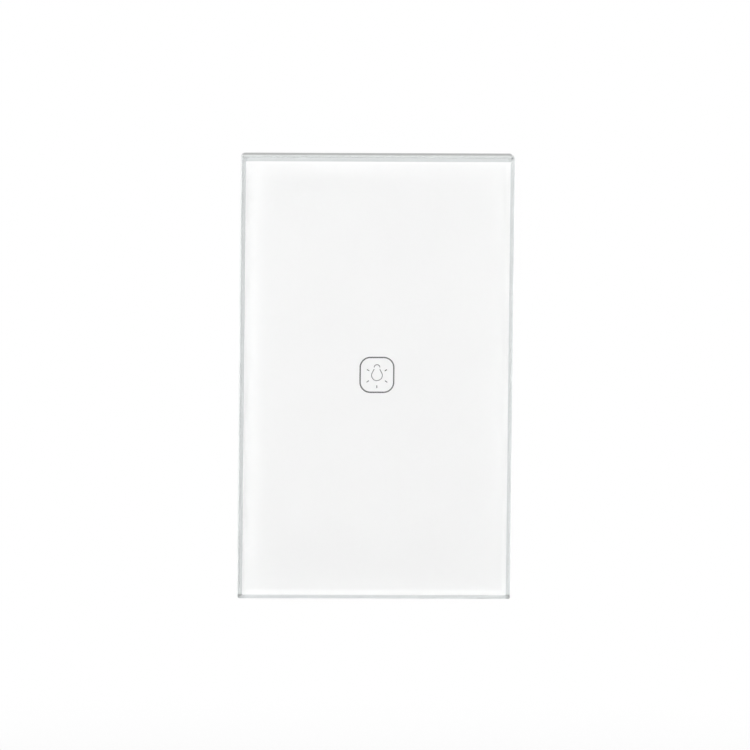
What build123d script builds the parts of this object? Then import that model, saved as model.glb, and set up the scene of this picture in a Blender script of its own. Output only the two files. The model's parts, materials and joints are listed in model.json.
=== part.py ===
from build123d import *
import math
import os

os.makedirs("parts", exist_ok=True)

# A single-gang smart light switch, in millimetres. X runs to the right, Y runs into the wall and Z
# runs up. The origin is on the wall plane, midway between the two box screws.

# Outside of the touch panel
panel_width = 72.0
panel_height = 118.0
projection = 9.0
glass_thickness = 4.0
glass_bevel = 1.1
bevel_corner = 0.1
glass_arris = 0.25

# Ink on the back of the glass, and the tape behind it
print_thickness = 0.15
print_inset = 1.6
print_corner = 0.6
tape_thickness = 0.3
tape_width = 5.6
tape_inset = 0.8

# Pictogram and key outline, drawn in ink lines
key_width = 9.22
key_height = 9.66
key_corner = 2.85
key_line = 0.36
key_x = 0.3
key_z = 0.6
bulb_radius = 1.42
bulb_drop = 0.12
bulb_line = 0.2
bulb_shoulder = 28.0
bulb_neck_top = 1.5
cap_radius = 0.73
cap_rise = 2.0
ray_length = 0.75
ray_line = 0.24
ray_upper = (2.33, 1.24)
ray_lower = (2.42, -1.76)
ray_bottom = (0.0, -3.17)

# Panel carrier and its claws
carrier_inset = 0.15
carrier_flange = 1.2
carrier_ledge = 8.4
ledge_corner = 3.0
carrier_wall = 1.6
skirt_gap = 0.6
pry_width = 12.0
pry_depth = 2.0
claw_thickness = 1.2
claw_length = 8.0
claw_hook = 0.9
claw_hook_depth = 0.75
claw_lead_in = 0.5
claw_inset = 1.0
claw_height = 38.0
claw_gap = 0.3

# Wall frame
frame_gap = 0.6
frame_corner = 1.5
frame_plate = 1.6
frame_wall = 1.6
seat_length = 12.0
seat_width = 3.0
frame_window_width = 34.0
frame_window_height = 52.0
frame_window_corner = 3.0
box_screw_spacing = 83.3
box_screw_access = 9.0
peg_radius = 1.2
peg_short = 0.2
touch = 0.05

# Mounting strap
strap_thickness = 1.2
strap_side_gap = 2.45
strap_end_gap = 2.05
strap_corner = 3.0
strap_hole_radius = 2.1
strap_window_gap = 0.5
peg_fit = 0.3

# Housing in the wall box
housing_width = 46.0
housing_height = 66.0
housing_depth = 29.0
housing_wall = 1.8
housing_corner = 3.0
post_radius = 3.0
post_inset = 3.5
post_depth = 13.0
rib_thickness = 1.2
rib_width = 2.0
rib_spacing = 36.0
wire_window_width = 6.0
wire_window_depth = 5.2
vent_width = 1.6
vent_length = 9.0
vent_pitch = 4.0
vent_count = 5
label_width = 30.0
label_height = 22.0
label_recess = 0.3
label_z = 8.0

# Screws
housing_screw_head = 2.4
housing_screw_head_height = 1.4
housing_screw_round = 0.55
housing_screw_shank = 1.2
housing_screw_length = 10.0
board_screw_head = 1.8
board_screw_head_height = 1.1
board_screw_shank = 0.9
board_screw_length = 3.2
screw_fit = 0.1
screw_pass = 0.4
recess_width = 0.6
recess_share = 0.65
recess_depth = 0.6

# Tray and touch board
tray_gap = 0.3
tray_top = 0.1
tray_corner = 1.6
tray_wall = 1.0
tray_floor_y = 5.0
tray_floor = 1.0
board_gap = 0.5
touch_board_y = 1.6
board_thickness = 1.6
boss_radius = 2.2
boss_x = 16.2
boss_z = 21.5
post_clearance = 0.4
tray_leg_radius = 2.0
tray_leg_x = 12.0
tray_leg_z = 26.5
lead_fit = 0.15

# Parts on the touch board
module_width = 24.0
module_height = 15.6
module_board = 0.8
module_z = 18.0
shield_width = 15.0
shield_height = 13.0
shield_depth = 1.8
shield_wall = 0.2
shield_corner = 0.4
shield_x = -3.2
antenna_depth = 0.15
antenna_line = 0.6
antenna_pitch = 1.5
antenna_turns = 4
antenna_width = 4.2
antenna_x = 8.0
guide_width = 10.8
guide_height = 11.4
guide_corner = 3.2
guide_wall = 0.9
guide_face = 0.8
guide_gap = 0.25
led_length = 3.0
led_width = 1.4
led_height = 0.8
led_spacing = 4.2
chip_length = 5.0
chip_width = 4.0
chip_height = 1.3
chip_lead_width = 0.4
chip_lead_reach = 0.9
chip_lead_height = 0.5
chip_lead_pitch = 1.27
chip_leads = 4
touch_chip_x = -10.5
touch_chip_z = -13.0
passive_length = 2.0
passive_width = 1.2
passive_height = 0.7
passive_rows = 2
passive_columns = 3
passive_pitch_x = 3.0
passive_pitch_z = 2.6
passive_group_x = 11.6
passive_group_z = -11.3
side_passive_x = 14.6
side_passive_pitch = 3.0
side_passives = 3
supply_passive_x = 15.0
supply_passive_z = 22.6
supply_passive_pitch = 2.4
supply_passive_step = 4.4

# Touch spring
wire_radius = 0.275
spring_outer = 15.6
spring_turns = 5
spring_gap = 0.1
spring_end_y = 0.9
spring_leg_bend = 1.0
spring_leg_tail = 0.6
points_per_turn = 4

# Plug between the boards
header_pitch = 2.54
header_ways = 6
header_height = 2.5
header_width = 2.5
header_pin = 0.6
header_pin_front = 0.8
header_pin_reach = 2.6
header_z = -16.5
socket_gap = 0.1

# Power board
power_board_y = 9.0
tail = 0.8
standoff = 0.3

# Terminals
terminal_pitch = 9.6
terminal_count = 3
terminal_body_width = 30.4
terminal_z = -25.2
terminal_wall = 2.0
chamber_gap = 0.5
chamber_width = 7.6
chamber_cover = 1.4
funnel_width = 5.4
bar_y = 16.2
bar_thickness = 1.2
bar_width = 5.0
bar_tail_width = 3.0
cage_wall = 0.8
cage_top = 2.0
cage_side_gap = 0.2
cage_length = 6.4
cage_rest_gap = 0.2
wire_gap = 4.4
cage_travel = 3.0
cage_head_gap = 0.4
terminal_screw_radius = 1.3
terminal_head_radius = 2.4
terminal_head_height = 1.7
terminal_screw_rest = 0.1
thread_fit = 0.3
head_gap = 0.3

# Relay, placed by its centre on the board
relay_x = -12.3
relay_z = -5.2
relay_width = 15.4
relay_length = 19.0
relay_height = 15.3
relay_wall = 0.6
relay_base_thickness = 1.6
relay_part_gap = 0.1
yoke_thickness = 1.0
yoke_leg = 1.2
yoke_width = 8.0
yoke_end_gap = 2.1
yoke_height = 11.2
coil_gap = 0.2
bobbin_radius = 4.6
bobbin_flange = 0.8
bobbin_tube = 2.6
core_radius = 1.8
core_fit = 0.1
pole_radius = 3.0
pole_thickness = 0.6
winding_radius = 4.2
armature_gap = 0.6
armature_rest = 0.1
armature_thickness = 1.0
armature_width = 7.6
armature_overhang = 0.8
leaf_thickness = 0.2
leaf_width = 4.0
contact_end_gap = 2.5
contact_radius = 1.0
contact_height = 1.0
contact_gap = 1.0
fixed_contact_height = 0.5
fixed_blade = 0.5
relay_pin_radius = 0.4

# Transformer
transformer_x = -9.5
transformer_z = 15.0
core_width = 13.0
core_depth = 6.0
core_height = 11.5
core_leg = 3.0
core_bar = 2.4
core_window = 0.3
bobbin_plate = 1.0
bobbin_wall = 0.6
bobbin_length = 12.0
winding_thickness = 1.5

# Capacitors and the other parts on the power board
main_cap_x = 9.0
main_cap_z = -11.0
main_cap_radius = 4.0
main_cap_height = 12.5
output_cap_x = 6.0
output_cap_z = 20.5
output_cap_radius = 3.15
output_cap_height = 9.5
can_round = 0.3
groove_depth = 0.3
groove_width = 0.6
groove_lift = 0.9
cap_lead = 0.3
film_x = 0.6
film_z = -8.0
film_width = 5.0
film_length = 13.0
film_height = 11.0
film_lead_spacing = 10.0
film_round = 0.3
varistor_x = 10.0
varistor_z = -1.6
varistor_radius = 4.25
varistor_thickness = 3.4
varistor_round = 1.36
varistor_lift = 1.6
varistor_lead_spacing = 5.0
fuse_x = 17.6
fuse_z = -6.0
fuse_radius = 1.5
fuse_length = 9.0
fuse_round = 0.45
fuse_lead = 0.35
fuse_lead_reach = 1.6
fuse_lift = 0.5
bridge_x = 13.0
bridge_z = 7.6
bridge_length = 4.7
bridge_width = 4.0
bridge_height = 2.4
driver_x = 13.5
driver_z = 16.0

# Depths that follow from the sizes above
glass_front_y = -projection
glass_back_y = glass_front_y + glass_thickness
print_back_y = glass_back_y + print_thickness
tape_back_y = print_back_y + tape_thickness
flange_back_y = tape_back_y + carrier_flange
skirt_back_y = -skirt_gap
frame_plate_back_y = -strap_thickness
frame_plate_front_y = frame_plate_back_y - frame_plate
seat_front_y = flange_back_y
touch_board_back_y = touch_board_y + board_thickness
tray_floor_back_y = tray_floor_y + tray_floor
power_board_back_y = power_board_y + board_thickness
housing_inner_y = housing_depth - housing_wall

# Widths and heights that follow
panel_corner = glass_bevel + bevel_corner
carrier_width = panel_width - 2 * carrier_inset
carrier_height = panel_height - 2 * carrier_inset
carrier_corner = panel_corner - carrier_inset
skirt_inner_width = carrier_width - 2 * carrier_wall
skirt_inner_height = carrier_height - 2 * carrier_wall
frame_width = skirt_inner_width - 2 * frame_gap
frame_height = skirt_inner_height - 2 * frame_gap
ledge_width = carrier_width - 2 * carrier_ledge
ledge_height = carrier_height - 2 * carrier_ledge
cavity_width = housing_width - 2 * housing_wall
cavity_height = housing_height - 2 * housing_wall
tray_width = cavity_width - 2 * tray_gap
tray_height = cavity_height - 2 * tray_gap
touch_board_width = tray_width - 2 * tray_wall - 2 * board_gap
touch_board_height = tray_height - 2 * tray_wall - 2 * board_gap
power_board_width = cavity_width - 2 * board_gap
power_board_height = cavity_height - 2 * board_gap
post_x = housing_width / 2 - post_inset
post_z = housing_height / 2 - post_inset
post_relief = post_radius + post_clearance
claw_x = ledge_width / 2 + claw_inset + claw_thickness / 2
box_screw_z = box_screw_spacing / 2
strap_width = 2 * (claw_x - claw_thickness / 2 - strap_side_gap)
strap_height = frame_height - 2 * frame_wall - 2 * strap_end_gap
peg_x = (frame_window_width + strap_width) / 4 + strap_window_gap / 2
seat_x = (ledge_width + skirt_inner_width) / 4
seat_z = (ledge_height + skirt_inner_height) / 4
guide_x = key_x
guide_z = key_z
header_pin_diagonal = math.hypot(header_pin, header_pin)

# Places inside the relay, along its length
yoke_z = relay_wall + yoke_end_gap - relay_length / 2
coil_z = yoke_z + yoke_leg / 2 + coil_gap + bobbin_radius
contact_z = relay_length / 2 - relay_wall - contact_end_gap


def plane_at(depth, x=0.0, z=0.0):
    """Sketch plane at a depth: sketches read X to the right and Z up, and extrusions come forward."""
    return Plane(origin=(x, depth, z), x_dir=(1, 0, 0), z_dir=(0, -1, 0))


def four_corners(x, z):
    """The four places that mirror one place in X and Z."""
    return [(x, z), (-x, z), (-x, -z), (x, -z)]


# Glass panel with its polished bevel
with BuildPart() as glass_panel:
    with BuildSketch(plane_at(glass_back_y)):
        RectangleRounded(panel_width, panel_height, panel_corner)
    extrude(amount=glass_thickness)
    chamfer(glass_panel.faces().sort_by(Axis.Y)[0].edges(), glass_bevel)
    chamfer(glass_panel.faces().sort_by(Axis.Y)[-1].edges(), glass_arris)
glass_panel.part.label = "glass_panel"
export_step(glass_panel.part, "parts/glass_panel.step")

# Ink lines: the outlined key, the bulb with its cap, and five rays
ray_places = [
    (ray_upper[0], ray_upper[1]),
    (-ray_upper[0], ray_upper[1]),
    (ray_lower[0], ray_lower[1]),
    (-ray_lower[0], ray_lower[1]),
    ray_bottom,
]
shoulder = math.radians(bulb_shoulder)
shoulder_x = bulb_radius * math.cos(shoulder)
shoulder_z = bulb_radius * math.sin(shoulder) - bulb_drop
neck_x = shoulder_x - (bulb_neck_top - shoulder_z) * math.tan(shoulder)
with BuildPart() as icon_print:
    with BuildSketch(plane_at(print_back_y, key_x, key_z)):
        RectangleRounded(key_width, key_height, key_corner)
        offset(amount=-key_line, mode=Mode.SUBTRACT)
    with BuildSketch(plane_at(print_back_y, key_x, key_z)):
        with BuildLine():
            Line((neck_x, bulb_neck_top), (shoulder_x, shoulder_z))
            ThreePointArc((shoulder_x, shoulder_z), (0, -bulb_radius - bulb_drop), (-shoulder_x, shoulder_z))
            Line((-shoulder_x, shoulder_z), (-neck_x, bulb_neck_top))
        trace(line_width=bulb_line)
    with BuildSketch(plane_at(print_back_y, key_x, key_z)):
        with BuildLine():
            ThreePointArc((cap_radius, cap_rise), (0, cap_rise + cap_radius), (-cap_radius, cap_rise))
        trace(line_width=bulb_line)
    with BuildSketch(plane_at(print_back_y, key_x, key_z)):
        for ray_x, ray_z in ray_places:
            ray_turn = math.degrees(math.atan2(ray_z + bulb_drop, ray_x))
            with Locations(Location((ray_x, ray_z, 0), (0, 0, ray_turn))):
                Rectangle(ray_length, ray_line)
    extrude(amount=print_thickness)
icon_print.part.label = "icon_print"
export_step(icon_print.part, "parts/icon_print.step")

# White ink on the back of the glass, open where the grey lines are
with BuildPart() as back_print:
    with BuildSketch(plane_at(print_back_y)):
        RectangleRounded(panel_width - 2 * print_inset, panel_height - 2 * print_inset, print_corner)
    extrude(amount=print_thickness)
    add(icon_print.part, mode=Mode.SUBTRACT)
back_print.part.label = "back_print"
export_step(back_print.part, "parts/back_print.step")

# Ring of tape between the ink and the carrier
with BuildPart() as adhesive_tape:
    with BuildSketch(plane_at(tape_back_y)):
        Rectangle(panel_width - 2 * tape_inset, panel_height - 2 * tape_inset)
        offset(amount=-tape_width, kind=Kind.INTERSECTION, mode=Mode.SUBTRACT)
    extrude(amount=tape_thickness)
adhesive_tape.part.label = "adhesive_tape"
export_step(adhesive_tape.part, "parts/adhesive_tape.step")

# Carrier: a flange behind the glass and a skirt that reaches to the wall
with BuildPart() as panel_carrier:
    with BuildSketch(plane_at(flange_back_y)):
        RectangleRounded(carrier_width, carrier_height, carrier_corner)
        RectangleRounded(ledge_width, ledge_height, ledge_corner, mode=Mode.SUBTRACT)
    extrude(amount=carrier_flange)
    with BuildSketch(plane_at(skirt_back_y)):
        RectangleRounded(carrier_width, carrier_height, carrier_corner)
        Rectangle(skirt_inner_width, skirt_inner_height, mode=Mode.SUBTRACT)
    extrude(amount=skirt_back_y - flange_back_y)
    with BuildSketch(plane_at(skirt_back_y, 0, -(skirt_inner_height + carrier_wall) / 2)):
        Rectangle(pry_width, 2 * carrier_wall)
    extrude(amount=pry_depth, mode=Mode.SUBTRACT)
panel_carrier.part.label = "panel_carrier"
export_step(panel_carrier.part, "parts/panel_carrier.step")

# Claws: flexing tongues with a hook that catches behind the frame's plate
claw_back_y = frame_plate_back_y + touch + claw_hook_depth
with BuildPart() as snap_claws:
    for side in (-1, 1):
        with BuildSketch(plane_at(claw_back_y, side * claw_x)):
            with Locations((0, claw_height), (0, -claw_height)):
                Rectangle(claw_thickness, claw_length)
        extrude(amount=claw_back_y - flange_back_y)
        with BuildSketch(plane_at(claw_back_y, side * (claw_x + claw_hook / 2))):
            with Locations((0, claw_height), (0, -claw_height)):
                Rectangle(claw_thickness + claw_hook, claw_length)
        extrude(amount=claw_hook_depth)
    hook_edges = snap_claws.faces().sort_by(Axis.Y)[-4:].edges().filter_by(Axis.Z)
    outer_edges = hook_edges.filter_by(lambda e: abs(e.center().X) > claw_x + claw_thickness)
    chamfer(outer_edges, claw_lead_in)
snap_claws.part.label = "snap_claws"
export_step(snap_claws.part, "parts/snap_claws.step")

# Frame on the wall: plate, rim, seats for the carrier, and openings
claw_slot_width = claw_thickness + 2 * claw_gap
claw_slot_length = claw_length + 2 * claw_gap
with BuildPart() as chassis_frame:
    with BuildSketch(plane_at(0)):
        RectangleRounded(frame_width, frame_height, frame_corner)
        Rectangle(frame_width - 2 * frame_wall, frame_height - 2 * frame_wall, mode=Mode.SUBTRACT)
    extrude(amount=-frame_plate_back_y)
    with BuildSketch(plane_at(frame_plate_back_y)):
        RectangleRounded(frame_width, frame_height, frame_corner)
        RectangleRounded(frame_window_width, frame_window_height, frame_window_corner, mode=Mode.SUBTRACT)
        with Locations(*four_corners(claw_x, claw_height)):
            Rectangle(claw_slot_width, claw_slot_length, mode=Mode.SUBTRACT)
        with Locations((0, box_screw_z), (0, -box_screw_z)):
            Circle(box_screw_access / 2, mode=Mode.SUBTRACT)
        with Locations(*four_corners(post_x, post_z)):
            Circle(housing_screw_shank + screw_pass, mode=Mode.SUBTRACT)
    extrude(amount=frame_plate)
    with BuildSketch(plane_at(frame_plate_front_y)):
        with Locations((seat_x, 0), (-seat_x, 0)):
            Rectangle(seat_width, seat_length)
        with Locations((0, seat_z), (0, -seat_z)):
            Rectangle(seat_length, seat_width)
    extrude(amount=frame_plate_front_y - seat_front_y)
    with BuildSketch(plane_at(-peg_short)):
        with Locations((peg_x, 0), (-peg_x, 0)):
            Circle(peg_radius)
    extrude(amount=strap_thickness - peg_short)
chassis_frame.part.label = "chassis_frame"
export_step(chassis_frame.part, "parts/chassis_frame.step")

# Steel strap behind the frame
with BuildPart() as mounting_strap:
    with BuildSketch(plane_at(0)):
        RectangleRounded(strap_width, strap_height, strap_corner)
        RectangleRounded(
            frame_window_width + 2 * strap_window_gap,
            frame_window_height + 2 * strap_window_gap,
            frame_window_corner,
            mode=Mode.SUBTRACT,
        )
        with Locations((0, box_screw_z), (0, -box_screw_z)):
            Circle(strap_hole_radius, mode=Mode.SUBTRACT)
        with Locations(*four_corners(post_x, post_z)):
            Circle(housing_screw_shank + screw_pass, mode=Mode.SUBTRACT)
        with Locations((peg_x, 0), (-peg_x, 0)):
            Circle(peg_radius + peg_fit, mode=Mode.SUBTRACT)
    extrude(amount=strap_thickness)
mounting_strap.part.label = "mounting_strap"
export_step(mounting_strap.part, "parts/mounting_strap.step")

# Four screws that clamp the frame and the strap to the housing
screw_tip_y = frame_plate_front_y + housing_screw_length
with BuildPart() as housing_screws:
    with BuildSketch(plane_at(screw_tip_y)):
        with Locations(*four_corners(post_x, post_z)):
            Circle(housing_screw_shank)
    extrude(amount=housing_screw_length)
    with BuildSketch(plane_at(frame_plate_front_y)):
        with Locations(*four_corners(post_x, post_z)):
            Circle(housing_screw_head)
    extrude(amount=housing_screw_head_height)
    fillet(housing_screws.faces().sort_by(Axis.Y)[:4].edges(), housing_screw_round)
    with BuildSketch(plane_at(frame_plate_front_y - housing_screw_head_height + recess_depth)):
        with Locations(*four_corners(post_x, post_z)):
            Rectangle(2 * recess_share * housing_screw_head, recess_width)
            Rectangle(recess_width, 2 * recess_share * housing_screw_head)
    extrude(amount=recess_depth, mode=Mode.SUBTRACT)
housing_screws.part.label = "housing_screws"
export_step(housing_screws.part, "parts/housing_screws.step")

# Tray between the two boards: rim, walls, floor, bosses for the touch board and legs on the power board
header_length = header_ways * header_pitch
tray_slot_length = header_length + 2 * post_clearance
tray_slot_width = header_width + 2 * post_clearance
with BuildPart() as insulating_tray:
    with BuildSketch(plane_at(tray_floor_back_y)):
        RectangleRounded(tray_width, tray_height, tray_corner)
        with Locations(*four_corners(post_x, post_z)):
            Rectangle(2 * post_relief, 2 * post_relief, mode=Mode.SUBTRACT)
    extrude(amount=tray_floor_back_y - tray_top)
    with BuildSketch(plane_at(tray_floor_y)):
        Rectangle(tray_width - 2 * tray_wall, tray_height - 2 * tray_wall)
        with Locations(*four_corners(post_x, post_z)):
            Rectangle(2 * (post_relief + tray_wall), 2 * (post_relief + tray_wall), mode=Mode.SUBTRACT)
        with Locations(*four_corners(boss_x, boss_z)):
            Circle(boss_radius, mode=Mode.SUBTRACT)
    extrude(amount=tray_floor_y - touch_board_back_y, mode=Mode.SUBTRACT)
    with BuildSketch(plane_at(touch_board_back_y)):
        Rectangle(tray_width - 2 * tray_wall, tray_height - 2 * tray_wall)
        with Locations(*four_corners(post_x, post_z)):
            Rectangle(2 * (post_relief + tray_wall), 2 * (post_relief + tray_wall), mode=Mode.SUBTRACT)
    extrude(amount=touch_board_back_y - tray_top, mode=Mode.SUBTRACT)
    with BuildSketch(plane_at(power_board_y)):
        with Locations(*four_corners(tray_leg_x, tray_leg_z)):
            Circle(tray_leg_radius)
    extrude(amount=power_board_y - tray_floor_back_y)
    with BuildSketch(plane_at(tray_floor_back_y, 0, header_z)):
        Rectangle(tray_slot_length, tray_slot_width)
    extrude(amount=tray_floor, mode=Mode.SUBTRACT)
    with BuildSketch(plane_at(touch_board_y + board_screw_length + tray_floor / 2)):
        with Locations(*four_corners(boss_x, boss_z)):
            Circle(board_screw_shank + screw_fit)
    extrude(amount=board_screw_length, mode=Mode.SUBTRACT)
insulating_tray.part.label = "insulating_tray"
export_step(insulating_tray.part, "parts/insulating_tray.step")

# Places of the header's pins and of the spring's leg on the touch board
pin_places = [((way - (header_ways - 1) / 2) * header_pitch, header_z) for way in range(header_ways)]
spring_radius = spring_outer / 2 - wire_radius
spring_front_y = print_back_y + spring_gap + wire_radius
spring_drop = (spring_end_y - spring_front_y) / spring_turns


def spring_point(turn):
    """Point on the spring's helix after a number of turns, and the direction there."""
    angle = 2 * math.pi * turn
    point = Vector(
        guide_x + spring_radius * math.cos(angle),
        spring_front_y + spring_drop * turn,
        guide_z + spring_radius * math.sin(angle),
    )
    direction = Vector(
        -2 * math.pi * spring_radius * math.sin(angle),
        spring_drop,
        2 * math.pi * spring_radius * math.cos(angle),
    )
    return point, direction.normalized()


def biarc_joint(start, start_way, end, end_way):
    """Point where two arcs meet that run from start to end, and the direction there."""
    across = start - end
    ways = start_way + end_way
    square = 2 * (1 - start_way.dot(end_way))
    along = across.dot(ways)
    root = math.sqrt(along * along + 2 * square * across.dot(across))
    reach = (2 * across.dot(across)) / (root - along) if abs(square) < 1e-9 else (along + root) / square
    first = start + start_way * reach
    last = end - end_way * reach
    return (first + last) / 2, (last - first).normalized()


# Touch spring: one tube from the glass down to its leg in the board
spring_steps = spring_turns * points_per_turn
spring_stops = [spring_point(step / points_per_turn) for step in range(spring_steps + 1)]
leg_way = Vector(0, 1, 0)
helix_end, helix_way = spring_stops[-1]
leg_place = Vector(helix_end.X, 0, helix_end.Z) + Vector(helix_way.X, 0, helix_way.Z) * spring_leg_bend
leg_top = Vector(leg_place.X, helix_end.Y + spring_leg_bend, leg_place.Z)
leg_tip = Vector(leg_place.X, touch_board_back_y + spring_leg_tail, leg_place.Z)
spring_stops.append((leg_top, leg_way))
with BuildPart() as touch_spring:
    with BuildLine() as spring_line:
        for (start, start_way), (end, end_way) in zip(spring_stops, spring_stops[1:]):
            joint, joint_way = biarc_joint(start, start_way, end, end_way)
            TangentArc(start, joint, tangent=start_way)
            TangentArc(joint, end, tangent=joint_way)
        Line(leg_top, leg_tip)
    with BuildSketch(Plane(origin=spring_stops[0][0], z_dir=spring_stops[0][1])):
        Circle(wire_radius)
    sweep(path=spring_line.wires()[0])
touch_spring.part.label = "touch_spring"
export_step(touch_spring.part, "parts/touch_spring.step")

# Least gap of the spring to itself, measured on points along its wire
spring_wire = spring_line.wires()[0]
sample_count = 300
samples = [spring_wire.position_at(index / sample_count) for index in range(sample_count + 1)]
sample_step = spring_wire.length / sample_count
apart = int(8 * wire_radius / sample_step)
least = min(
    (samples[a] - samples[b]).length
    for a in range(len(samples))
    for b in range(a + apart, len(samples))
)
print(f"touch spring: wire {spring_wire.length:.1f} long, least gap to itself {least - 2 * wire_radius:.2f}")

# Touch board, cut back at the housing's posts
with BuildPart() as touch_board:
    with BuildSketch(plane_at(touch_board_back_y)):
        Rectangle(touch_board_width, touch_board_height)
        with Locations(*four_corners(post_x, post_z)):
            relief = 2 * (post_relief + tray_wall + board_gap)
            Rectangle(relief, relief, mode=Mode.SUBTRACT)
        with Locations(*four_corners(boss_x, boss_z)):
            Circle(board_screw_shank + screw_fit, mode=Mode.SUBTRACT)
        with Locations(*pin_places):
            Circle(header_pin_diagonal / 2 + lead_fit, mode=Mode.SUBTRACT)
        with Locations((leg_place.X, leg_place.Z)):
            Circle(wire_radius + lead_fit, mode=Mode.SUBTRACT)
    extrude(amount=board_thickness)
touch_board.part.label = "touch_board"
export_step(touch_board.part, "parts/touch_board.step")

# Screws of the touch board
with BuildPart() as board_screws:
    with BuildSketch(plane_at(touch_board_y + board_screw_length)):
        with Locations(*four_corners(boss_x, boss_z)):
            Circle(board_screw_shank)
    extrude(amount=board_screw_length)
    with BuildSketch(plane_at(touch_board_y)):
        with Locations(*four_corners(boss_x, boss_z)):
            Circle(board_screw_head)
    extrude(amount=board_screw_head_height)
    with BuildSketch(plane_at(touch_board_y - board_screw_head_height + recess_depth)):
        with Locations(*four_corners(boss_x, boss_z)):
            Rectangle(2 * recess_share * board_screw_head, recess_width)
            Rectangle(recess_width, 2 * recess_share * board_screw_head)
    extrude(amount=recess_depth, mode=Mode.SUBTRACT)
board_screws.part.label = "board_screws"
export_step(board_screws.part, "parts/board_screws.step")

# Milky light guide behind the key: a cup that opens towards the board
guide_front_y = print_back_y + guide_gap
with BuildPart() as light_guide:
    with BuildSketch(plane_at(touch_board_y, guide_x, guide_z)):
        RectangleRounded(guide_width, guide_height, guide_corner)
    extrude(amount=touch_board_y - guide_front_y)
    with BuildSketch(plane_at(touch_board_y, guide_x, guide_z)):
        RectangleRounded(guide_width, guide_height, guide_corner)
        offset(amount=-guide_wall, mode=Mode.REPLACE)
    extrude(amount=touch_board_y - guide_front_y - guide_face, mode=Mode.SUBTRACT)
light_guide.part.label = "light_guide"
export_step(light_guide.part, "parts/light_guide.step")

# Two indicator lamps on the board, inside the guide
with BuildPart() as indicator_leds:
    with BuildSketch(plane_at(touch_board_y, guide_x, guide_z)):
        with Locations((0, led_spacing / 2), (0, -led_spacing / 2)):
            Rectangle(led_length, led_width)
    extrude(amount=led_height)
indicator_leds.part.label = "indicator_leds"
export_step(indicator_leds.part, "parts/indicator_leds.step")

# Touch controller with its leads
with BuildPart() as touch_chip:
    with BuildSketch(plane_at(touch_board_y, touch_chip_x, touch_chip_z)):
        Rectangle(chip_length, chip_width)
    extrude(amount=chip_height)
    with BuildSketch(plane_at(touch_board_y, touch_chip_x, touch_chip_z)):
        with GridLocations(chip_lead_pitch, chip_width + chip_lead_reach, chip_leads, 2):
            Rectangle(chip_lead_width, chip_lead_reach)
    extrude(amount=chip_lead_height)
touch_chip.part.label = "touch_chip"
export_step(touch_chip.part, "parts/touch_chip.step")

# Radio module: its own small board, a can and a printed antenna
module_front_y = touch_board_y - module_board
with BuildPart() as wireless_module:
    with BuildSketch(plane_at(touch_board_y, 0, module_z)):
        Rectangle(module_width, module_height)
    extrude(amount=module_board)
wireless_module.part.label = "wireless_module"
export_step(wireless_module.part, "parts/wireless_module.step")

with BuildPart() as module_shield:
    with BuildSketch(plane_at(module_front_y, shield_x, module_z)):
        Rectangle(shield_width, shield_height)
    extrude(amount=shield_depth)
    fillet(module_shield.edges().filter_by(Axis.Y), shield_corner)
    with BuildSketch(plane_at(module_front_y, shield_x, module_z)):
        Rectangle(shield_width - 2 * shield_wall, shield_height - 2 * shield_wall)
    extrude(amount=shield_depth - shield_wall, mode=Mode.SUBTRACT)
module_shield.part.label = "module_shield"
export_step(module_shield.part, "parts/module_shield.step")

with BuildPart() as module_antenna:
    with BuildSketch(plane_at(module_front_y, antenna_x, module_z)):
        for turn in range(antenna_turns):
            rise = (turn - (antenna_turns - 1) / 2) * 2 * antenna_pitch
            side = antenna_width / 2 - antenna_line / 2
            with Locations((0, rise - antenna_pitch / 2), (0, rise + antenna_pitch / 2)):
                Rectangle(antenna_width, antenna_line)
            with Locations((side, rise)):
                Rectangle(antenna_line, antenna_pitch)
            if turn:
                with Locations((-side, rise - antenna_pitch)):
                    Rectangle(antenna_line, antenna_pitch)
    extrude(amount=antenna_depth)
module_antenna.part.label = "module_antenna"
export_step(module_antenna.part, "parts/module_antenna.step")

# Small resistors and capacitors: a group and two columns on the touch board, and three on the power board
supply_passives = [
    (supply_passive_x, supply_passive_z),
    (supply_passive_x, supply_passive_z + supply_passive_pitch),
    (supply_passive_x - supply_passive_step, supply_passive_z + supply_passive_pitch),
]
with BuildPart() as board_passives:
    with BuildSketch(plane_at(touch_board_y)):
        with Locations((passive_group_x, passive_group_z)):
            with GridLocations(passive_pitch_x, passive_pitch_z, passive_columns, passive_rows):
                Rectangle(passive_length, passive_width)
        with GridLocations(2 * side_passive_x, side_passive_pitch, 2, side_passives):
            Rectangle(passive_length, passive_width)
    extrude(amount=passive_height)
    with BuildSketch(plane_at(power_board_back_y)):
        with Locations(*supply_passives):
            Rectangle(passive_length, passive_width)
    extrude(amount=-passive_height)
board_passives.part.label = "board_passives"
export_step(board_passives.part, "parts/board_passives.step")

# Plug under the touch board and its socket on the power board
header_back_y = touch_board_back_y + header_height
socket_front_y = header_back_y + socket_gap
pin_back_y = header_back_y + header_pin_reach
with BuildPart() as header_pins:
    with BuildSketch(plane_at(pin_back_y)):
        with Locations(*pin_places):
            Rectangle(header_pin, header_pin)
    extrude(amount=pin_back_y - touch_board_y + header_pin_front)
header_pins.part.label = "header_pins"
export_step(header_pins.part, "parts/header_pins.step")

with BuildPart() as header_body:
    with BuildSketch(plane_at(header_back_y, 0, header_z)):
        Rectangle(header_length, header_width)
    extrude(amount=header_height)
    with BuildSketch(plane_at(header_back_y)):
        with Locations(*pin_places):
            Rectangle(header_pin, header_pin)
    extrude(amount=header_height, mode=Mode.SUBTRACT)
header_body.part.label = "header_body"
export_step(header_body.part, "parts/header_body.step")

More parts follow.
